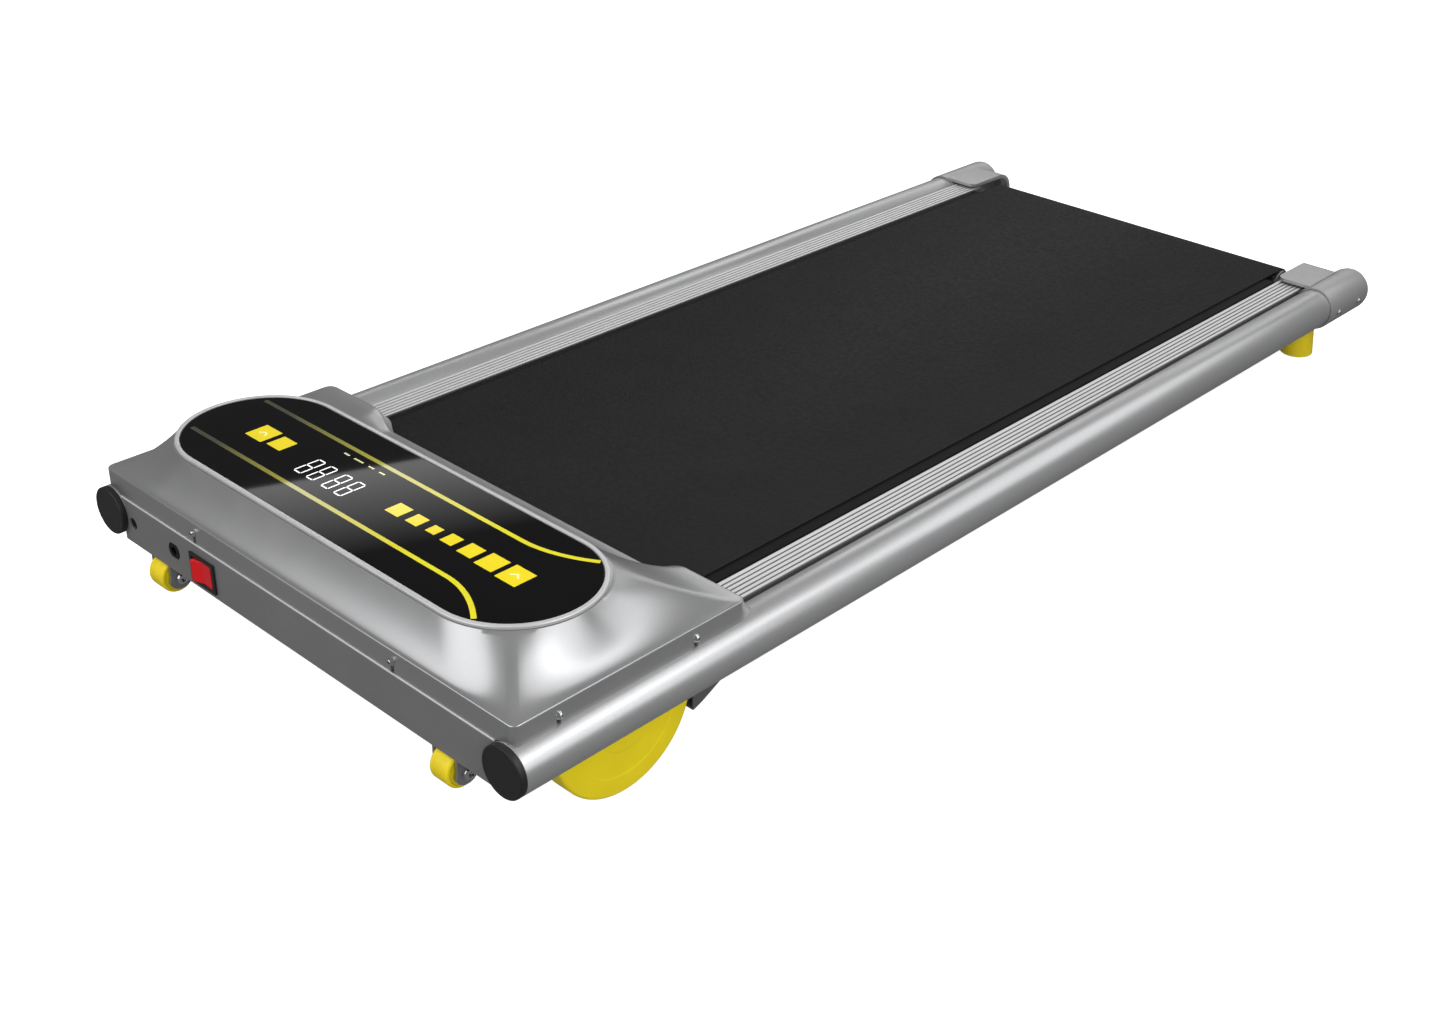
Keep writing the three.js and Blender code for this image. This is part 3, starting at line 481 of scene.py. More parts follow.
def ribbed_aluminium():
    """Extruded aluminium, with painted shade: a dark tint along the grooves between the step rails' ribs,
    added to the shade the grooves' own shape gives.
    """
    inner, outer = span("right_step_rail")[0]
    pitch = (outer - inner) / RAIL_RIBS
    finish = Finish("ribbed_aluminium", (0.56, 0.56, 0.56), 0.4, Metallic=0.3)
    finish.mottle(30, 0.1, stretch=(1, 0.08, 1))
    finish.uneven_gloss(400, 0.05, stretch=(1, 0.02, 1))
    from_middle = finish.math("ABSOLUTE", finish.across("X"), 0)
    from_edge = finish.math("SUBTRACT", from_middle, inner * MM)
    from_groove = finish.math("PINGPONG", finish.math("DIVIDE", from_edge, pitch * MM), 0.5)
    edge = RAIL_GROOVE / 2 / pitch
    # Painted shade: each groove is tinted dark, standing in for the shade that falls in it.
    finish.tint(finish.between(from_groove, edge, edge * 0.7), (0.13, 0.13, 0.132))
    return finish.material


def bright_metal(name, colour, roughness, scratch=0.012):
    finish = Finish(name, colour, roughness, Metallic=1.0)
    finish.mottle(60, 0.08)
    finish.uneven_gloss(300, roughness * 0.35)
    finish.relief(finish.noise(2500, detail=2), scratch)
    return finish.material


def belt_rubber():
    """A black belt: a fine crossed tread on rubber, dulled unevenly."""
    finish = Finish("belt_rubber", (0.009, 0.009, 0.0095), 0.64, Specular_IOR_Level=0.22)
    finish.mottle(16, 0.14)
    finish.uneven_gloss(200, 0.06)
    waves = []
    for angle in (32, -32):
        mapping = finish.node("ShaderNodeMapping")
        mapping.inputs["Rotation"].default_value = (0, 0, math.radians(angle))
        finish.link(finish.coordinates, mapping.inputs["Vector"])
        wave = finish.node("ShaderNodeTexWave", wave_type="BANDS", bands_direction="X")
        wave.inputs["Scale"].default_value = 140
        wave.inputs["Distortion"].default_value = 0
        finish.link(mapping.outputs["Vector"], wave.inputs["Vector"])
        waves.append(wave.outputs["Fac"])
    finish.relief(finish.math("MULTIPLY", *waves), 0.12, 0.55)
    finish.relief(finish.noise(2400, detail=3), 0.05, 0.5)
    return finish.material


def moulded_rubber(name, colour, roughness=0.5):
    finish = Finish(name, colour, roughness, Specular_IOR_Level=0.5)
    finish.mottle(40, 0.12)
    finish.tint(finish.between(finish.noise(180, detail=5), 0.6, 0.75), [c * 0.8 for c in colour])
    finish.uneven_gloss(150, 0.08)
    finish.relief(finish.noise(1500, detail=4), 0.04)
    return finish.material


def console_glass_finish():
    finish = Finish("console_glass", (0.004, 0.004, 0.0045), 0.03, Specular_IOR_Level=0.1)
    finish.mottle(12, 0.2)
    finish.relief(finish.noise(18, detail=1), 0.01)
    return finish.material


def print_finish(name, colour, faded=None, strength=0.0):
    """Ink under the console's glass, which fades towards the left where faded gives a colour. Where
    strength is given, the ink also has a painted glow.
    """
    finish = Finish(name, colour, 0.3, Coat_Weight=1.0, Coat_Roughness=0.03, Specular_IOR_Level=0.1)
    finish.mottle(300, 0.06)
    if faded:
        finish.tint(finish.between(finish.across("X"), 0.09, -0.17), faded)
    # Painted glow: with a strength, the ink gives off light of its own colour, so it shines brighter than
    # the lamps make it.
    if strength:
        finish.set("Emission Color", (*colour, 1))
        finish.set("Emission Strength", strength)
    return finish.material


def fibre_board():
    finish = Finish("fibre_board", (0.006, 0.006, 0.006), 0.7, Specular_IOR_Level=0.2)
    finish.mottle(220, 0.3, detail=6)
    finish.relief(finish.noise(900, detail=5), 0.08)
    return finish.material


def circuit_finish():
    finish = Finish("circuit_board", (0.01, 0.08, 0.03), 0.4, Coat_Weight=0.4)
    tracks = finish.noise(420, detail=2, stretch=(1, 0.2, 1))
    finish.tint(finish.between(tracks, 0.58, 0.6), (0.02, 0.16, 0.06))
    finish.relief(finish.noise(500, detail=1), 0.05)
    return finish.material


SILVER = silver_paint()
TUBE_SILVER = tube_paint()
GREY = grey_paint("grey_paint").material
PLATE_GREY_WITH_HIGHLIGHT = plate_paint_with_painted_highlight()
MOTOR_GREY = grey_paint("motor_paint", (0.05, 0.05, 0.053)).material
SMOOTH_GRAIN = {"grain": 1500, "height": 0.006}
CAP_GREY = moulded_plastic("silver_plastic", (0.45, 0.45, 0.455), 0.4, **SMOOTH_GRAIN, Metallic=0.65)
PAN_GREY = moulded_plastic("pan_plastic", (0.1, 0.1, 0.102), 0.5)
JET = moulded_plastic("jet_plastic", (0.005, 0.005, 0.0055), 0.5, Specular_IOR_Level=0.25)
BLACK = moulded_plastic("black_plastic", (0.013, 0.013, 0.014), 0.42, Specular_IOR_Level=0.4)
RED = moulded_plastic("red_plastic", (0.66, 0.01, 0.015), 0.32, **SMOOTH_GRAIN, Specular_IOR_Level=0.3)
YELLOW_PLASTIC = moulded_plastic("yellow_plastic", (0.9, 0.72, 0.008), 0.45)
YELLOW_RUBBER = moulded_rubber("yellow_rubber", (0.9, 0.7, 0.01))
ALUMINIUM = ribbed_aluminium()
CHROME = bright_metal("chrome", (0.8, 0.81, 0.83), 0.12, 0.004)
ZINC = bright_metal("zinc_steel", (0.55, 0.56, 0.58), 0.34)
BELT = belt_rubber()
BEZEL = moulded_plastic("bezel_plastic", (0.6, 0.6, 0.6), 0.35, grain=1500, height=0.004, Metallic=0.5)
BOARD = fibre_board()
CIRCUIT = circuit_finish()
GLASS = console_glass_finish()
# The keys, the digits and the small marks have a painted glow; the lane lines have none.
YELLOW_INK_PAINTED_GLOW = print_finish("yellow_ink_painted_glow", (0.7, 0.56, 0.005), strength=0.03)
LINE_INK = print_finish("line_ink", (0.62, 0.56, 0.012), faded=(0.035, 0.035, 0.022))
WHITE_INK_PAINTED_GLOW = print_finish("white_ink_painted_glow", (0.9, 0.9, 0.9), strength=0.35)
PALE_INK_PAINTED_GLOW = print_finish("pale_ink_painted_glow", (0.8, 0.78, 0.4), strength=0.1)


# ---------------------------------------------------------------- frame: tubes, caps, rails
TUBE_X, TUBE_Y, _ = span("right_side_tube")
TUBE_MIDDLE = middle_of(TUBE_X)
TUBE_RADIUS = half_of(TUBE_X)
TUBE_WALL = 1.5
SLEEVE_RADIUS = 23.5  # room for the rear end cap, which slides over the tube
SLEEVE_FRONT, SLEEVE_REAR = 1153.2, 1180


def side_tube():
    front, rear = TUBE_Y
    corners = [
        (TUBE_RADIUS - TUBE_WALL, front, 0.3),
        (TUBE_RADIUS, front, 0.3),
        (TUBE_RADIUS, rear, 0.3),
        (TUBE_RADIUS - TUBE_WALL, rear, 0.3),
    ]
    return lathe(rounded(corners, 3), "y", (TUBE_MIDDLE, 0), 160)


def step_rail():
    """An extruded rail: a plate with five grooves along it on two legs."""
    (inner, outer), y, (foot, top) = span("right_step_rail")
    plate, leg, depth = 2.5, 2.0, 1.7
    pitch = (outer - inner) / RAIL_RIBS
    corners = [(inner, foot, 0.2), (inner, top, 0.5)]
    for i in range(1, RAIL_RIBS):
        middle = inner + pitch * i
        corners += [(middle - RAIL_GROOVE / 2, top, 0.3), (middle - RAIL_GROOVE / 4, top - depth, 0.2)]
        corners += [(middle + RAIL_GROOVE / 4, top - depth, 0.2), (middle + RAIL_GROOVE / 2, top, 0.3)]
    under = top - plate
    outer_leg = outer - 6
    corners += [(outer, top, 0.5), (outer, under, 0.2)]
    corners += [(outer_leg + leg, under, 0.3), (outer_leg + leg, foot, 0.2)]
    corners += [(outer_leg, foot, 0.2), (outer_leg, under, 0.3)]
    corners += [(inner + leg, under, 0.3), (inner + leg, foot, 0.2)]
    sleeve = [(0, SLEEVE_FRONT), (SLEEVE_RADIUS, SLEEVE_FRONT)]
    sleeve += [(SLEEVE_RADIUS, SLEEVE_REAR), (0, SLEEVE_REAR)]
    return carved(prism(rounded(corners, 3), "y", y), lathe(sleeve, "y", (TUBE_MIDDLE, 0)))


def front_tube_cap():
    """A black plug with a flat face that has a shallow rim."""
    _, (front, rear), _ = span("right_front_tube_cap")
    flange = TUBE_Y[0] - 0.3
    inner = TUBE_RADIUS - TUBE_WALL - 0.3
    corners = [
        (0, front + 0.25, 0),
        (TUBE_RADIUS - 3.2, front + 0.25, 0.6),
        (TUBE_RADIUS - 2.4, front, 0.5),
        (TUBE_RADIUS, front, 1.1),
        (TUBE_RADIUS, flange, 0.2),
        (inner, flange, 0.2),
        (inner - 1, rear, 0.4),
        (0, rear, 0),
    ]
    return lathe(rounded(corners, 5, closed=False), "y", (TUBE_MIDDLE, 0), 128)


def dome_profile(tip, head, base, radius):
    """The outline of a domed screw, from the tip of its head to the end of its shank."""
    inward = math.copysign(1, base - tip)
    corners = [(0, tip, 0), (radius * 0.55, tip + 0.25 * inward, 0.8)]
    corners += [(radius, head - 0.45 * inward, 0.3), (radius, head, 0.1)]
    corners += [(radius * 0.5, head, 0.1), (radius * 0.5, base, 0.2), (0, base, 0)]
    return rounded(corners, 5, closed=False)


def dome_screw(node, radius, rise):
    """A domed chrome screw with a cross recess, its head towards +X."""
    x, y, z = span(node)
    base, tip = x[0], x[1]
    at = (middle_of(y), middle_of(z))
    arms = []
    for wide, high in ((1.75, 0.42), (0.42, 1.75)):
        corner = [(-wide, -high, 0.1), (wide, -high, 0.1), (wide, high, 0.1), (-wide, high, 0.1)]
        outline = [(at[0] + u, at[1] + v) for u, v in rounded(corner, 2)]
        arms.append(prism(outline, "x", (tip - 1.25, tip + 2)))
    return carved(lathe(dome_profile(tip, tip - rise, base, radius), "x", at, 48), *arms)


add_pair("side_tube", side_tube, TUBE_SILVER, slot="silver_paint")
add_pair("front_tube_cap", front_tube_cap, BLACK, slot="black_plastic")
for side in SIDES:
    refine(f"{side}_rear_end_cap", CAP_GREY, slot="grey_plastic", bevel=0.9, smooth=40)
add_pair("step_rail", step_rail, ALUMINIUM, slot="ribbed_aluminium", smooth=25)
for where in ("front", "rear"):
    build = lambda where=where: dome_screw(f"right_cap_screw_{where}", 3.6, 2.1)
    add_pair(f"cap_screw_{where}", build, CHROME, slot="chrome")
for where in ("front", "middle", "rear"):
    refine(f"cross_member_{where}", GREY, slot="grey_paint", bevel=0.8)
refine("rear_foot_bar", GREY, slot="grey_paint", bevel=0.6)


# ---------------------------------------------------------------- front plate, switch, cord grommet
PLATE_FOLD = 1.3


def plate_edge(point):
    """The fold along the plate's top is wide; every other edge is only broken."""
    on_fold = abs(point.y - PLATE_FACE) < 0.3 and abs(point.z - PLATE_TOP) < 0.3
    return 1.0 if on_fold else 0.14


PLATE_FACE = TUBE_Y[0]
refine("front_cross_plate", PLATE_GREY_WITH_HIGHLIGHT, slot="grey_paint", bevel=PLATE_FOLD, weights=plate_edge, smooth=40)
refine("power_switch_housing", BLACK, slot="black_plastic", bevel=0.7)
refine("power_switch_rocker", RED, body="switch_rocker", slot="red_plastic", bevel=0.8, smooth=40)
refine("cord_grommet", JET, slot="black_plastic", bevel=0.5)
refine("overload_breaker", JET, slot="black_plastic", bevel=0.5)
refine("breaker_reset_button", JET, body="reset_button", slot="black_plastic", bevel=0.7)


# ---------------------------------------------------------------- casters, wheels, feet
def caster_wheel(node):
    """A small yellow roller with rounded edges and a hub that stands a little proud."""
    (left, right), y, z = span(node)
    radius = half_of(z)
    at = (middle_of(y), middle_of(z))
    bore, hub, web = 3.4, 6.2, radius - 3.4
    corners = [
        (bore, left, 0.3),
        (hub, left, 0.4),
        (hub + 0.6, left + 1.4, 0.4),
        (web, left + 1.4, 0.6),
        (web + 0.8, left + 0.2, 0.5),
        (radius, left + 0.2, 2.2),
        (radius, right - 0.2, 2.2),
        (web + 0.8, right - 0.2, 0.5),
        (web, right - 1.4, 0.6),
        (hub + 0.6, right - 1.4, 0.4),
        (hub, right, 0.4),
        (bore, right, 0.3),
    ]
    return lathe(rounded(corners, 5), "x", at, 96)


def hexagon(at, radius):
    return [(at[0] + u, at[1] + v) for u, v in arc(0, 0, radius, 0, 300, 5)]


def caster_bolt(node):
    """A chrome button-head bolt with a hexagon socket, and a nut on its other end."""
    (left, right), y, z = span(node)
    at = (middle_of(y), middle_of(z))
    head = right - 4.5
    nut = left + 4.3
    corners = [(0, right, 0), (4.0, right, 1.1), (5.4, right - 1.6, 1.0), (5.4, head, 0.3), (3, head, 0.1)]
    corners += [(3, left + 0.4, 0.3), (0, left + 0.4, 0)]
    body = lathe(rounded(corners, 5, closed=False), "x", at, 64)
    socket = prism(hexagon(at, 3.0), "x", (right - 2.6, right + 2))
    return joined(carved(body, socket), prism(hexagon(at, 5.6), "x", (left, nut)))


def transport_wheel(node):
    """A large yellow wheel, upright: a rounded tread, a stepped face and a hub round the bore."""
    low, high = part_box(node)
    radius = (high.z - low.z) / 2 / MM
    inner, outer = low.x / MM, high.x / MM
    if inner < 0:
        inner, outer = -outer, -inner
    bore, hub = 6.4, 17
    corners = [
        (bore, inner + 6, 0.4),
        (13, inner + 6, 0.5),
        (13, inner, 0.6),
        (radius - 16, inner, 0.6),
        (radius - 15, inner + 1.6, 0.8),
        (radius - 9, inner + 1.6, 0.8),
        (radius - 8, inner, 0.8),
        (radius, inner, 3.2),
        (radius, outer, 3.2),
        (radius - 17, outer, 0.8),
        (radius - 17.8, outer - 0.35, 0.4),
        (hub + 13, outer - 0.35, 0.4),
        (hub + 12.2, outer, 0.8),
        (hub, outer, 0.5),
        (hub - 0.6, outer - 0.5, 0.3),
        (bore, outer - 0.5, 0.4),
    ]
    at = ((low.y + high.y) / 2 / MM, (low.z + high.z) / 2 / MM)
    return lathe(rounded(corners, 5), "x", at, 192)


def rear_foot(node):
    """A yellow rubber foot that widens to the floor, with a dark groove under its collar."""
    low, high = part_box(node)
    radius = (high.x - low.x) / 2 / MM
    top = high.z / MM
    neck = radius * 0.81
    corners = [
        (0, 0.5, 0),
        (radius - 5, 0.5, 0.4),
        (radius - 4.5, 0, 0.3),
        (radius, 0, 1.2),
        (radius - 0.4, 3, 0.8),
        (neck + 0.8, top - 7.6, 0.6),
        (neck - 0.6, top - 7.2, 0.3),
        (neck - 0.6, top - 6.2, 0.3),
        (neck + 0.2, top - 5.8, 0.5),
        (neck - 0.4, top, 0.5),
        (0, top, 0),
    ]
    at = (abs(low.x + high.x) / 2 / MM, (low.y + high.y) / 2 / MM)
    return lathe(rounded(corners, 4, closed=False), "z", at, 96)


WORLD = Matrix.Scale(MM, 4)
WORLD_MIRROR = WORLD @ Matrix.Scale(-1, 4, (1, 0, 0))
for side, sign in SIDES.items():
    place = WORLD if sign > 0 else WORLD_MIRROR
    node = f"{side}_transport_wheel"
    add(f"{node}_skin", transport_wheel(node), YELLOW_PLASTIC, node, node, "yellow_plastic", place=place)
    node = f"{side}_rear_foot"
    add(f"{node}_skin", rear_foot(node), YELLOW_RUBBER, "frame", node, "yellow_rubber", place=place)
    node = f"{side}_caster_wheel"
    add(f"{node}_skin", caster_wheel(node), YELLOW_RUBBER, f"{side}_caster", node, "yellow_rubber")
    node = f"{side}_caster_bolt"
    add(f"{node}_skin", caster_bolt(node), CHROME, "frame", node, "chrome", bevel=0.25)
    refine(f"{side}_wheel_axle", ZINC, slot="zinc_steel", bevel=0.5)
    refine(f"{side}_wheel_bracket", GREY, slot="grey_paint", bevel=0.4)


# ---------------------------------------------------------------- rollers and walking belt
ROLLER_REAR = span("rear_roller")
ROLLER_RADIUS = half_of(ROLLER_REAR[2])
BELT_X, BELT_Y, BELT_Z = span("walking_belt")
BELT_THICKNESS = BELT_Z[1] - middle_of(BELT_Z) - ROLLER_RADIUS - 0.3


def walking_belt():
    """A band with soft edges round both rollers."""
    height = middle_of(BELT_Z)
    outer = half_of(BELT_Z)
    front, rear = BELT_Y[0] + outer, BELT_Y[1] - outer
    runs, bends = 60, 24
    path = []
    for i in range(runs):
        path.append((front + (rear - front) * i / runs, 90))
    for i in range(bends):
        path.append((rear, 90 - 180 * i / bends))
    for i in range(runs):
        path.append((rear + (front - rear) * i / runs, -90))
    for i in range(bends):
        path.append((front, -90 - 180 * i / bends))
    inner = outer - BELT_THICKNESS
    half = BELT_X[1]
    edge = 0.5
    section = [(-half, inner + edge), (-half, outer - edge), (-half + edge, outer), (half - edge, outer)]
    section += [(half, outer - edge), (half, inner + edge), (half - edge, inner), (-half + edge, inner)]

    def ring(i):
        y, angle = path[i]
        c, s = math.cos(math.radians(angle)), math.sin(math.radians(angle))
        return [(x, y + radius * c, height + radius * s) for x, radius in section]

    return swept(ring, len(path))


add("walking_belt_skin", walking_belt(), BELT, "frame", "walking_belt", "belt", smooth=50)
refine("front_roller", ZINC, body="front_roller", slot="zinc_steel", bevel=0.5)
refine("rear_roller", ZINC, body="rear_roller", slot="zinc_steel", bevel=0.5)
refine("front_roller_axle", ZINC, slot="zinc_steel", bevel=0.5)
refine("rear_roller_axle", ZINC, slot="zinc_steel", bevel=0.5)
refine("deck_board", BOARD, slot="deck_board", bevel=0.8)
for side in SIDES:
    refine(f"{side}_front_roller_bracket", GREY, slot="grey_paint", bevel=0.6)
    refine(f"{side}_tension_bolt", ZINC, slot="zinc_steel", bevel=0.4)


# ---------------------------------------------------------------- motor compartment
refine("drive_motor", MOTOR_GREY, slot="motor_paint", bevel=0.8)
refine("motor_pulley", ZINC, body="motor_rotor", slot="zinc_steel", bevel=0.5)
refine("drive_belt", BELT, slot="belt", bevel=0.4)
refine("motor_tray", GREY, slot="grey_paint", bevel=0.6)
refine("control_board", CIRCUIT, slot="circuit_board", bevel=0.3)
refine("display_board", CIRCUIT, slot="circuit_board", bevel=0.3)
refine("belly_pan", PAN_GREY, slot="dark_plastic", bevel=0.9, smooth=40)


# ---------------------------------------------------------------- motor cover
RING = span("console_ring")
GLASS_SPAN = span("console_glass")
CONSOLE_Y = middle_of(RING[1])
RING_RADIUS = half_of(RING[1])
CONSOLE_STRAIGHT = RING[0][1] - RING_RADIUS
GLASS_RADIUS = half_of(GLASS_SPAN[1])
GLASS_TOP = GLASS_SPAN[2][1]
COVER = span("motor_cover")
COVER_HALF = COVER[0][1]
COVER_FRONT = COVER[1][0]
COVER_TOP = COVER[2][1]
WING = 233  # rear edge of the wings, at the rim
WING_FOOT = COVER[1][1]
LIP = 226  # rear edge above the belt
LIP_FOOT = 231
CORNER = 6.7
RIM = 37.8
LIP_HEIGHT = 28
FOOT = 18.5
BELT_ROOM = 22.3
BELT_SIDE = 205.5
RIDGE_FRONT, RIDGE_REAR = -43, 60  # angles on the console's end that the corner ridges run up to
RIDGE_HALF = 4
SWEEP = 1.6  # above 1, the slopes are hollow
EDGE = 1.3


def mix(a, b, t):
    return a + (b - a) * t


def cover_stations():
    """Places round the right half of the rim, from the middle of the front to the middle of the rear.

    Each has the rim's x, y, height and foot, and the point of the console's outline that it sweeps up to.
    """
    front_run, wing_start, step_end = 187, 196, 160
    turn = COVER_HALF - CORNER
    front_angle, side_angle = RIDGE_FRONT - RIDGE_HALF, RIDGE_FRONT + RIDGE_HALF
    back_angle, wing_angle = RIDGE_REAR - RIDGE_HALF, RIDGE_REAR + RIDGE_HALF
    stations = []
    for i in range(14):
        target = ("front", CONSOLE_STRAIGHT * i / 14)
        stations.append((mix(0, front_run, i / 14), COVER_FRONT, RIM, COVER_FRONT, target))
    for i in range(10):
        target = ("angle", mix(-90, front_angle, i / 10))
        stations.append((mix(front_run, turn, i / 10), COVER_FRONT, RIM, COVER_FRONT, target))
    for i, (x, y) in enumerate(arc(turn, COVER_FRONT + CORNER, CORNER, -90, 0, 12)[:-1]):
        stations.append((x, y, RIM, y, ("angle", front_angle + 2 * RIDGE_HALF * i / 12)))
    for i in range(30):
        y = mix(COVER_FRONT + CORNER, WING - CORNER, i / 30)
        stations.append((COVER_HALF, y, RIM, y, ("angle", mix(side_angle, back_angle, i / 30))))
    for i, (x, y) in enumerate(arc(turn, WING - CORNER, CORNER, 0, 90, 12)[:-1]):
        foot = y + (WING_FOOT - WING) * i / 12
        stations.append((x, y, RIM, foot, ("angle", back_angle + 2 * RIDGE_HALF * i / 12)))
    for i in range(14):
        x = mix(turn, wing_start, i / 14)
        stations.append((x, WING, RIM, WING_FOOT, ("angle", mix(wing_angle, 86, i / 14))))
    rear_point = 132
    for i in range(14):
        t = i / 14
        ease = t * t * (3 - 2 * t)
        y, foot = mix(WING, LIP, ease), mix(WING_FOOT, LIP_FOOT, ease)
        target = ("rear", mix(CONSOLE_STRAIGHT, rear_point, t))
        stations.append((mix(wing_start, step_end, t), y, mix(RIM, LIP_HEIGHT, ease), foot, target))
    for i in range(12):
        target = ("rear", rear_point * (1 - i / 12))
        stations.append((mix(step_end, 0, i / 12), LIP, LIP_HEIGHT, LIP_FOOT, target))
    stations.append((0, LIP, LIP_HEIGHT, LIP_FOOT, ("rear", 0)))
    return stations


def console_point(radius, target):
    """A point of the console's outline: by angle on its round end, or by x on a straight side."""
    kind, value = target
    if kind == "angle":
        angle = math.radians(value)
        return CONSOLE_STRAIGHT + radius * math.cos(angle), CONSOLE_Y + radius * math.sin(angle)
    return value, CONSOLE_Y + (radius if kind == "rear" else -radius)


def foot_height(x, y):
    """The rim's lower edge clears the tube, and the belt between the rails."""
    across = (TUBE_RADIUS + 0.3) ** 2 - (abs(x) - TUBE_MIDDLE) ** 2
    height = max(FOOT, math.sqrt(max(0, across)))
    if abs(x) < BELT_SIDE and y > 200:
        height = BELT_ROOM
    return height


def cover_column(station):
    """The points of the skin above one place of the rim, from its foot up to the console's opening."""
    x, y, height, foot, target = station
    low = foot_height(x, foot)
    points = [(x, foot, low)]
    lean = foot - y
    for t in (0.3, 0.6, 0.85):
        z = mix(low, height - EDGE, t)
        points.append((x, mix(foot, y, t), z))
    px, py = console_point(RING_RADIUS + 1, target)
    reach = Vector((px - x, py - y))
    inward = reach.normalized()
    outward = Vector((0, lean)) * 0.15
    for angle in (0, 22, 45, 68, 90):
        a = math.radians(angle)
        inset = EDGE * (1 - math.cos(a))
        at = Vector((x, y)) + inward * inset + outward * (1 - angle / 90)
        points.append((at.x, at.y, height - EDGE + EDGE * math.sin(a)))
    start = EDGE / reach.length
    for i in range(1, 25):
        t = mix(start, 1, i / 24)
        rise = ((t - start) / (1 - start)) ** SWEEP
        points.append((mix(x, px, t), mix(y, py, t), mix(height, COVER_TOP, rise)))
    for radius in (RING_RADIUS - 1, GLASS_RADIUS - 1, 60):
        ix, iy = console_point(radius, target)
        points.append((ix, iy, COVER_TOP))
    return points


def slot_tool(u, v, axis, ends):
    """A cutter for a screw's slot: round at the top and open downwards."""
    half, drop = 2.0, 20
    outline = [(u + half, v - drop)] + arc(u, v, half, 0, 180, 12)
    return prism(outline + [(u - half, v - drop)], axis, ends)


def motor_cover():
    """The cover's wall, with a slot in its rim at each screw."""
    slots = []
    for side, sign in SIDES.items():
        x, y, z = span(f"{side}_cover_screw_front")
        slots.append(slot_tool(middle_of(x), middle_of(z), "y", (COVER_FRONT - 5, COVER_FRONT + 8)))
        for where in ("middle", "rear"):
            x, y, z = span(f"{side}_cover_screw_{where}")
            ends = sorted((sign * (COVER_HALF - 8), sign * (COVER_HALF + 5)))
            slots.append(slot_tool(middle_of(y), middle_of(z), "x", ends))
    return carved(thickened(cover_sheet(), 2.4), *slots)


def cover_sheet():
    """The cover's outer face, from the rim's foot to the opening under the console."""
    half = [cover_column(station) for station in cover_stations()]
    mirrored = [[(-x, y, z) for x, y, z in column] for column in reversed(half[1:-1])]
    columns = half + mirrored
    mesh = bmesh.new()
    made = [[mesh.verts.new(p) for p in column] for column in columns]
    for i, column in enumerate(made):
        following = made[(i + 1) % len(made)]
        for j in range(len(column) - 1):
            mesh.faces.new((column[j], following[j], following[j + 1], column[j + 1]))
    bmesh.ops.recalc_face_normals(mesh, faces=mesh.faces)
    if mesh.faces[0].normal.dot(Vector((0, -1, 0))) < 0:
        bmesh.ops.reverse_faces(mesh, faces=mesh.faces)
    return mesh


add("motor_cover_skin", motor_cover(), SILVER, "frame", "motor_cover", "silver_plastic", smooth=50)


def console_ring():
    """A light frame round the glass with rounded edges."""
    low, high = RING[2]
    inner = GLASS_RADIUS + 0.4
    corners = [(inner, low, 0), (RING_RADIUS, low, 0.2), (RING_RADIUS, high, 1.2), (inner, high, 0.5)]
    section = rounded(corners, 4)
    outline = stadium(1.0)
    steps = len(outline)

    def ring(i):
        x, y = outline[i]
        side = CONSOLE_STRAIGHT if i < steps / 2 else -CONSOLE_STRAIGHT
        direction = Vector((x - side, y - CONSOLE_Y))
        return [(side + direction.x * r, CONSOLE_Y + direction.y * r, z) for r, z in section]

    return swept(ring, steps)


add("console_ring_skin", console_ring(), BEZEL, "frame", "console_ring", "silver_plastic", smooth=50)
glass = prism(stadium(GLASS_RADIUS), "z", GLASS_SPAN[2])
add("console_glass_skin", glass, GLASS, "frame", "console_glass", "console_glass", bevel=0.5)


# ---------------------------------------------------------------- print under the glass
INK = (GLASS_TOP + 0.01, GLASS_TOP + 0.05)
KEY_Y = CONSOLE_Y - 0.1
# The keys: place along the console and half size.
KEYS = [(-155, 11), (-129.3, 9), (24.8, 7.9), (47.1, 6.8), (67.9, 5.3)]
KEYS += [(88.1, 6.6), (110.6, 8), (134.3, 9.7), (160.3, 11)]
LINE_WIDTH = 4.2
DIGITS = (-80.9, -64.7, -45, -28.6)
DIGIT = {"y": 87.4, "half_width": 4.3, "half_height": 12.2, "stroke": 1.3, "lean": 0.01}


def flat(outline):
    return prism(outline, "z", INK)


def key_squares():
    squares = []
    for x, half in KEYS:
        corners = [(x - half, KEY_Y - half, 0.4), (x + half, KEY_Y - half, 0.4)]
        corners += [(x + half, KEY_Y + half, 0.4), (x - half, KEY_Y + half, 0.4)]
        squares.append(flat(rounded(corners, 2)))
    return joined(*squares)


def ribbon(points, width):
    """A flat line of one width along points."""
    left, right = [], []
    for i, point in enumerate(points):
        ahead = Vector(points[min(i + 1, len(points) - 1)]) - Vector(points[max(i - 1, 0)])
        across = Vector((-ahead.y, ahead.x)).normalized() * width / 2
        left.append(tuple(Vector(point) + across))
        right.append(tuple(Vector(point) - across))
    return flat(right + left[::-1])


def lane_lines():
    """Two lines along the glass that bend away from each other near its right end."""
    start, bend_start, margin = -206, 125, 0.6
    lines = []
    for y, bend in ((130.6, 0.005), (58.6, -0.0066)):
        points = [(start, y), (0, y)]
        x = bend_start
        while True:
            point = (x, y + bend * (x - bend_start) ** 2)
            reach = math.hypot(x - CONSOLE_STRAIGHT, point[1] - CONSOLE_Y)
            if reach >= GLASS_RADIUS - margin and x >= 158:
                break
            points.append(point)
            x += 2
        lines.append(ribbon(points, LINE_WIDTH))
    return joined(*lines)


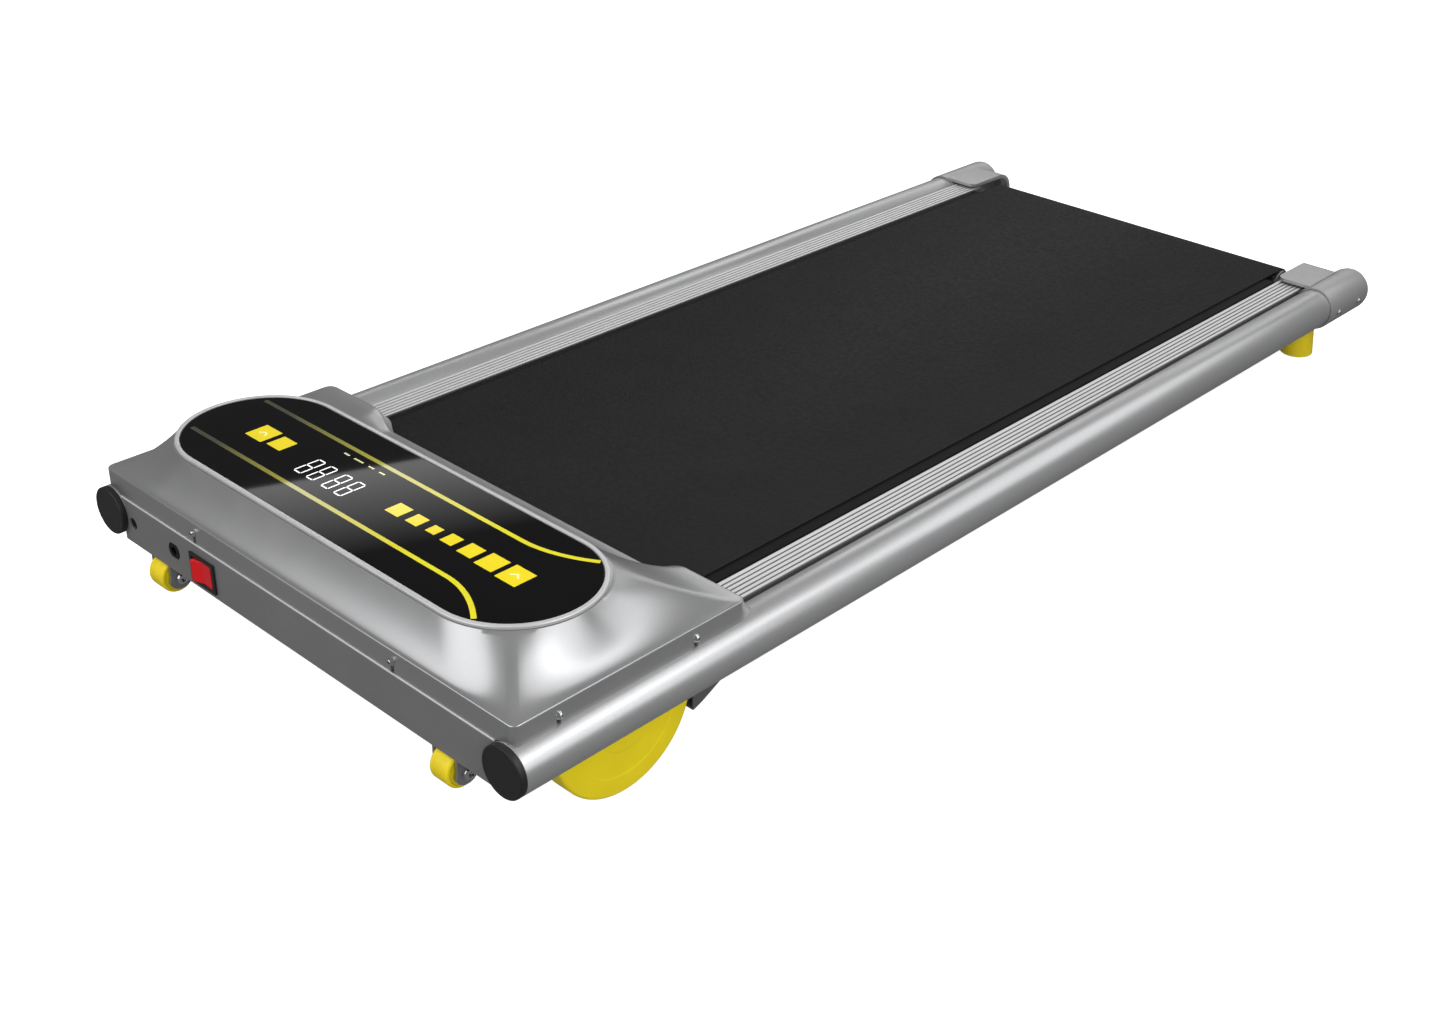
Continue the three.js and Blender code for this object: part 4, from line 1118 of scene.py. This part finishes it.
def digit_eight(x):
    """Seven bars of a leaning display digit."""
    half_width, half_height = DIGIT["half_width"], DIGIT["half_height"]
    stroke, middle = DIGIT["stroke"] / 2, DIGIT["y"]
    gap = 0.35
    bars = []
    for level in (-1, 0, 1):
        y = level * half_height
        left, right = -half_width + gap, half_width - gap
        bars.append([(left, y), (left + stroke, y - stroke), (right - stroke, y - stroke), (right, y),
                     (right - stroke, y + stroke), (left + stroke, y + stroke)])
    for column in (-1, 1):
        for low, high in ((-half_height + gap, -gap), (gap, half_height - gap)):
            u = column * half_width
            bars.append([(u, low), (u + stroke, low + stroke), (u + stroke, high - stroke), (u, high),
                         (u - stroke, high - stroke), (u - stroke, low + stroke)])
    lean = DIGIT["lean"]
    return [flat([(x + u + lean * v, middle + v) for u, v in bar]) for bar in bars]


def small_marks():
    """Short dashes where the display's captions are."""
    marks = []
    for start, end in ((-80.5, -71), (-67.3, -53), (-48.6, -40), (-34.6, -26)):
        for i in range(int((end - start) / 2.4)):
            x = start + 2.4 * i
            marks.append(flat([(x, 119.9), (x + 1.7, 119.9), (x + 1.9, 121.7), (x + 0.2, 121.7)]))
    return joined(*marks)


def key_icons():
    """A faint chevron on the first and the last key."""
    icons = []
    for x in (KEYS[0][0], KEYS[-1][0]):
        icons.append(ribbon([(x - 4.5, KEY_Y - 1.5), (x, KEY_Y + 2.5), (x + 4.5, KEY_Y - 1.5)], 1.7))
    return joined(*icons)


add("console_keys", key_squares(), YELLOW_INK_PAINTED_GLOW, slot="yellow_plastic")
add("console_lines", lane_lines(), LINE_INK, slot="yellow_plastic")
digits = [bar for x in DIGITS for bar in digit_eight(x)]
add("console_digits", joined(*digits), WHITE_INK_PAINTED_GLOW)
add("console_marks", small_marks(), PALE_INK_PAINTED_GLOW)
icons = add("console_icons", key_icons(), PALE_INK_PAINTED_GLOW)
icons.data.transform(Matrix.Translation((0, 0, 0.05 * MM)))


# ---------------------------------------------------------------- cover screws
def front_screw(node, radius, rise):
    """A cover screw that faces forwards."""
    x, (tip, base), z = span(node)
    at = (middle_of(x), middle_of(z))
    arms = []
    for wide, high in ((1.6, 0.4), (0.4, 1.6)):
        corner = ((-wide, -high), (wide, -high), (wide, high), (-wide, high))
        outline = [(at[0] + u, at[1] + v) for u, v in corner]
        arms.append(prism(outline, "y", (tip - 2, tip + 1.2)))
    return carved(lathe(dome_profile(tip, tip + rise, base, radius), "y", at, 48), *arms)


for side in SIDES:
    node = f"{side}_cover_screw_front"
    add(f"{node}_skin", front_screw(node, 3.4, 3.1), CHROME, "frame", node, "chrome")
for where in ("middle", "rear"):
    build = lambda where=where: dome_screw(f"right_cover_screw_{where}", 3.4, 3.1)
    add_pair(f"cover_screw_{where}", build, CHROME, slot="chrome")


# ---------------------------------------------------------------- floor, lights, camera
CAMERA_PLACE = Vector((1.01274, -1.21036, 0.88297))


def pale_floor():
    """A bright floor that takes shadows, but sends no light back to the machine."""
    finish = Finish("pale_floor", (0.5, 0.5, 0.5), 0.8)
    finish.mottle(0.6, 0.01)
    finish.set("Emission Color", (1, 1, 1, 1))
    finish.set("Emission Strength", 0.9)
    bpy.ops.mesh.primitive_plane_add(size=40, location=(0, 0, -0.0005))
    floor = bpy.context.object
    floor.name = "floor"
    floor.data.materials.append(finish.material)
    floor.visible_diffuse = False
    floor.visible_glossy = False


def area_light(name, place, target, size, power, shown=True):
    """A soft rectangular lamp that points at a target. One that isn't shown leaves no highlight."""
    data = bpy.data.lights.new(name, "AREA")
    data.shape = "RECTANGLE"
    data.size, data.size_y = size
    data.energy = power
    lamp = bpy.data.objects.new(name, data)
    lamp.location = place
    aim = Vector(target) - Vector(place)
    lamp.rotation_euler = aim.to_track_quat("-Z", "Y").to_euler()
    lamp.visible_glossy = shown
    bpy.context.scene.collection.objects.link(lamp)


def glass_reflection_card():
    """A card that fades out to one side, placed so that the camera sees it in the console's glass."""
    plane = DECK @ Vector((0, 0, GLASS_TOP))
    normal = (DECK.to_3x3() @ Vector((0, 0, 1))).normalized()
    behind = CAMERA_PLACE - 2 * (CAMERA_PLACE - plane).dot(normal) * normal
    middle = DECK @ Vector((0, CONSOLE_Y, GLASS_TOP))
    facing = (middle - behind).normalized()
    card_distance = 1.6
    centre_of_card = middle + facing * card_distance
    corners = []
    for x, y in ((-108, -30), (-5.9, 216), (158, 216), (30, -30)):
        ray = DECK @ Vector((x, y, GLASS_TOP)) - behind
        reach = (centre_of_card - behind).dot(facing) / ray.dot(facing)
        corners.append(behind + ray * reach)
    origin = corners[0]
    across = (corners[3] - corners[0]).normalized()
    width = (corners[3] - corners[0]).length
    turn = Matrix((across, facing.cross(across), facing)).transposed().to_4x4()
    place = Matrix.Translation(origin) @ turn
    data = bpy.data.meshes.new("reflection_card")
    data.from_pydata([place.inverted() @ c for c in corners], [], [(0, 1, 2, 3)])
    finish = Finish("reflection_card", (0, 0, 0), 1.0, Specular_IOR_Level=0.0)
    side = place.inverted() @ corners[1]
    lean = finish.math("MULTIPLY", finish.across("Y"), side.x / side.y)
    along = finish.math("SUBTRACT", finish.across("X"), lean)
    finish.link(finish.between(along, 0, width, 3.6, 0.16), finish.shader.inputs["Emission Strength"])
    finish.set("Emission Color", (1, 1, 1, 1))
    data.materials.append(finish.material)
    card = bpy.data.objects.new("reflection_card", data)
    card.matrix_world = place
    bpy.context.scene.collection.objects.link(card)


def studio():
    """Soft light from above, and cards whose reflections draw the highlights on the painted parts."""
    world = bpy.data.worlds.new("studio")
    world.use_nodes = True
    background = world.node_tree.nodes["Background"]
    background.inputs["Color"].default_value = (1, 1, 1, 1)
    background.inputs["Strength"].default_value = 0.16
    bpy.context.scene.world = world
    area_light("overhead", (0, 0, 3), (0, 0, 0), (3, 3), 95, shown=False)
    area_light("front_card", (-0.1, -1.95, 0.81), (0.25, -0.55, 0.13), (2.1, 1.4), 15)
    area_light("corner_card", (1.53, -0.27, 0.85), (0.25, -0.5, 0.1), (1.3, 1.2), 7.2)
    area_light("side_card", (1.07, 0.01, 1.25), (0.25, -0.5, 0.1), (1.09, 0.8), 3.6)
    area_light("tube_card", (0.75, 0.95, 0.85), (0.26, 0, 0.11), (1.2, 0.8), 3.4)
    area_light("rear_card", (-0.8, 2.1, 0.75), (0, 0.6, 0.1), (1.5, 0.5), 2.1)
    area_light("far_card", (-1.0, 1.25, 1.2), (-0.2, 0.1, 0.1), (0.7, 0.5), 1.5)
    area_light("low_fill", (1.9, -1.3, 0.6), (0.3, -0.35, 0.05), (1.3, 0.8), 15, shown=False)
    glass_reflection_card()
    bpy.context.scene.view_settings.view_transform = "Standard"


def camera():
    """The camera, with the lens and the angles that were fitted to the deck's edges."""
    data = bpy.data.cameras.new("camera")
    data.sensor_fit = "HORIZONTAL"
    data.sensor_width = 36
    data.lens = 44.54
    made = bpy.data.objects.new("camera", data)
    made.location = CAMERA_PLACE
    made.rotation_euler = (math.radians(59.23), 0, math.radians(43.355))
    bpy.context.scene.collection.objects.link(made)
    bpy.context.scene.camera = made


pale_floor()
studio()
camera()
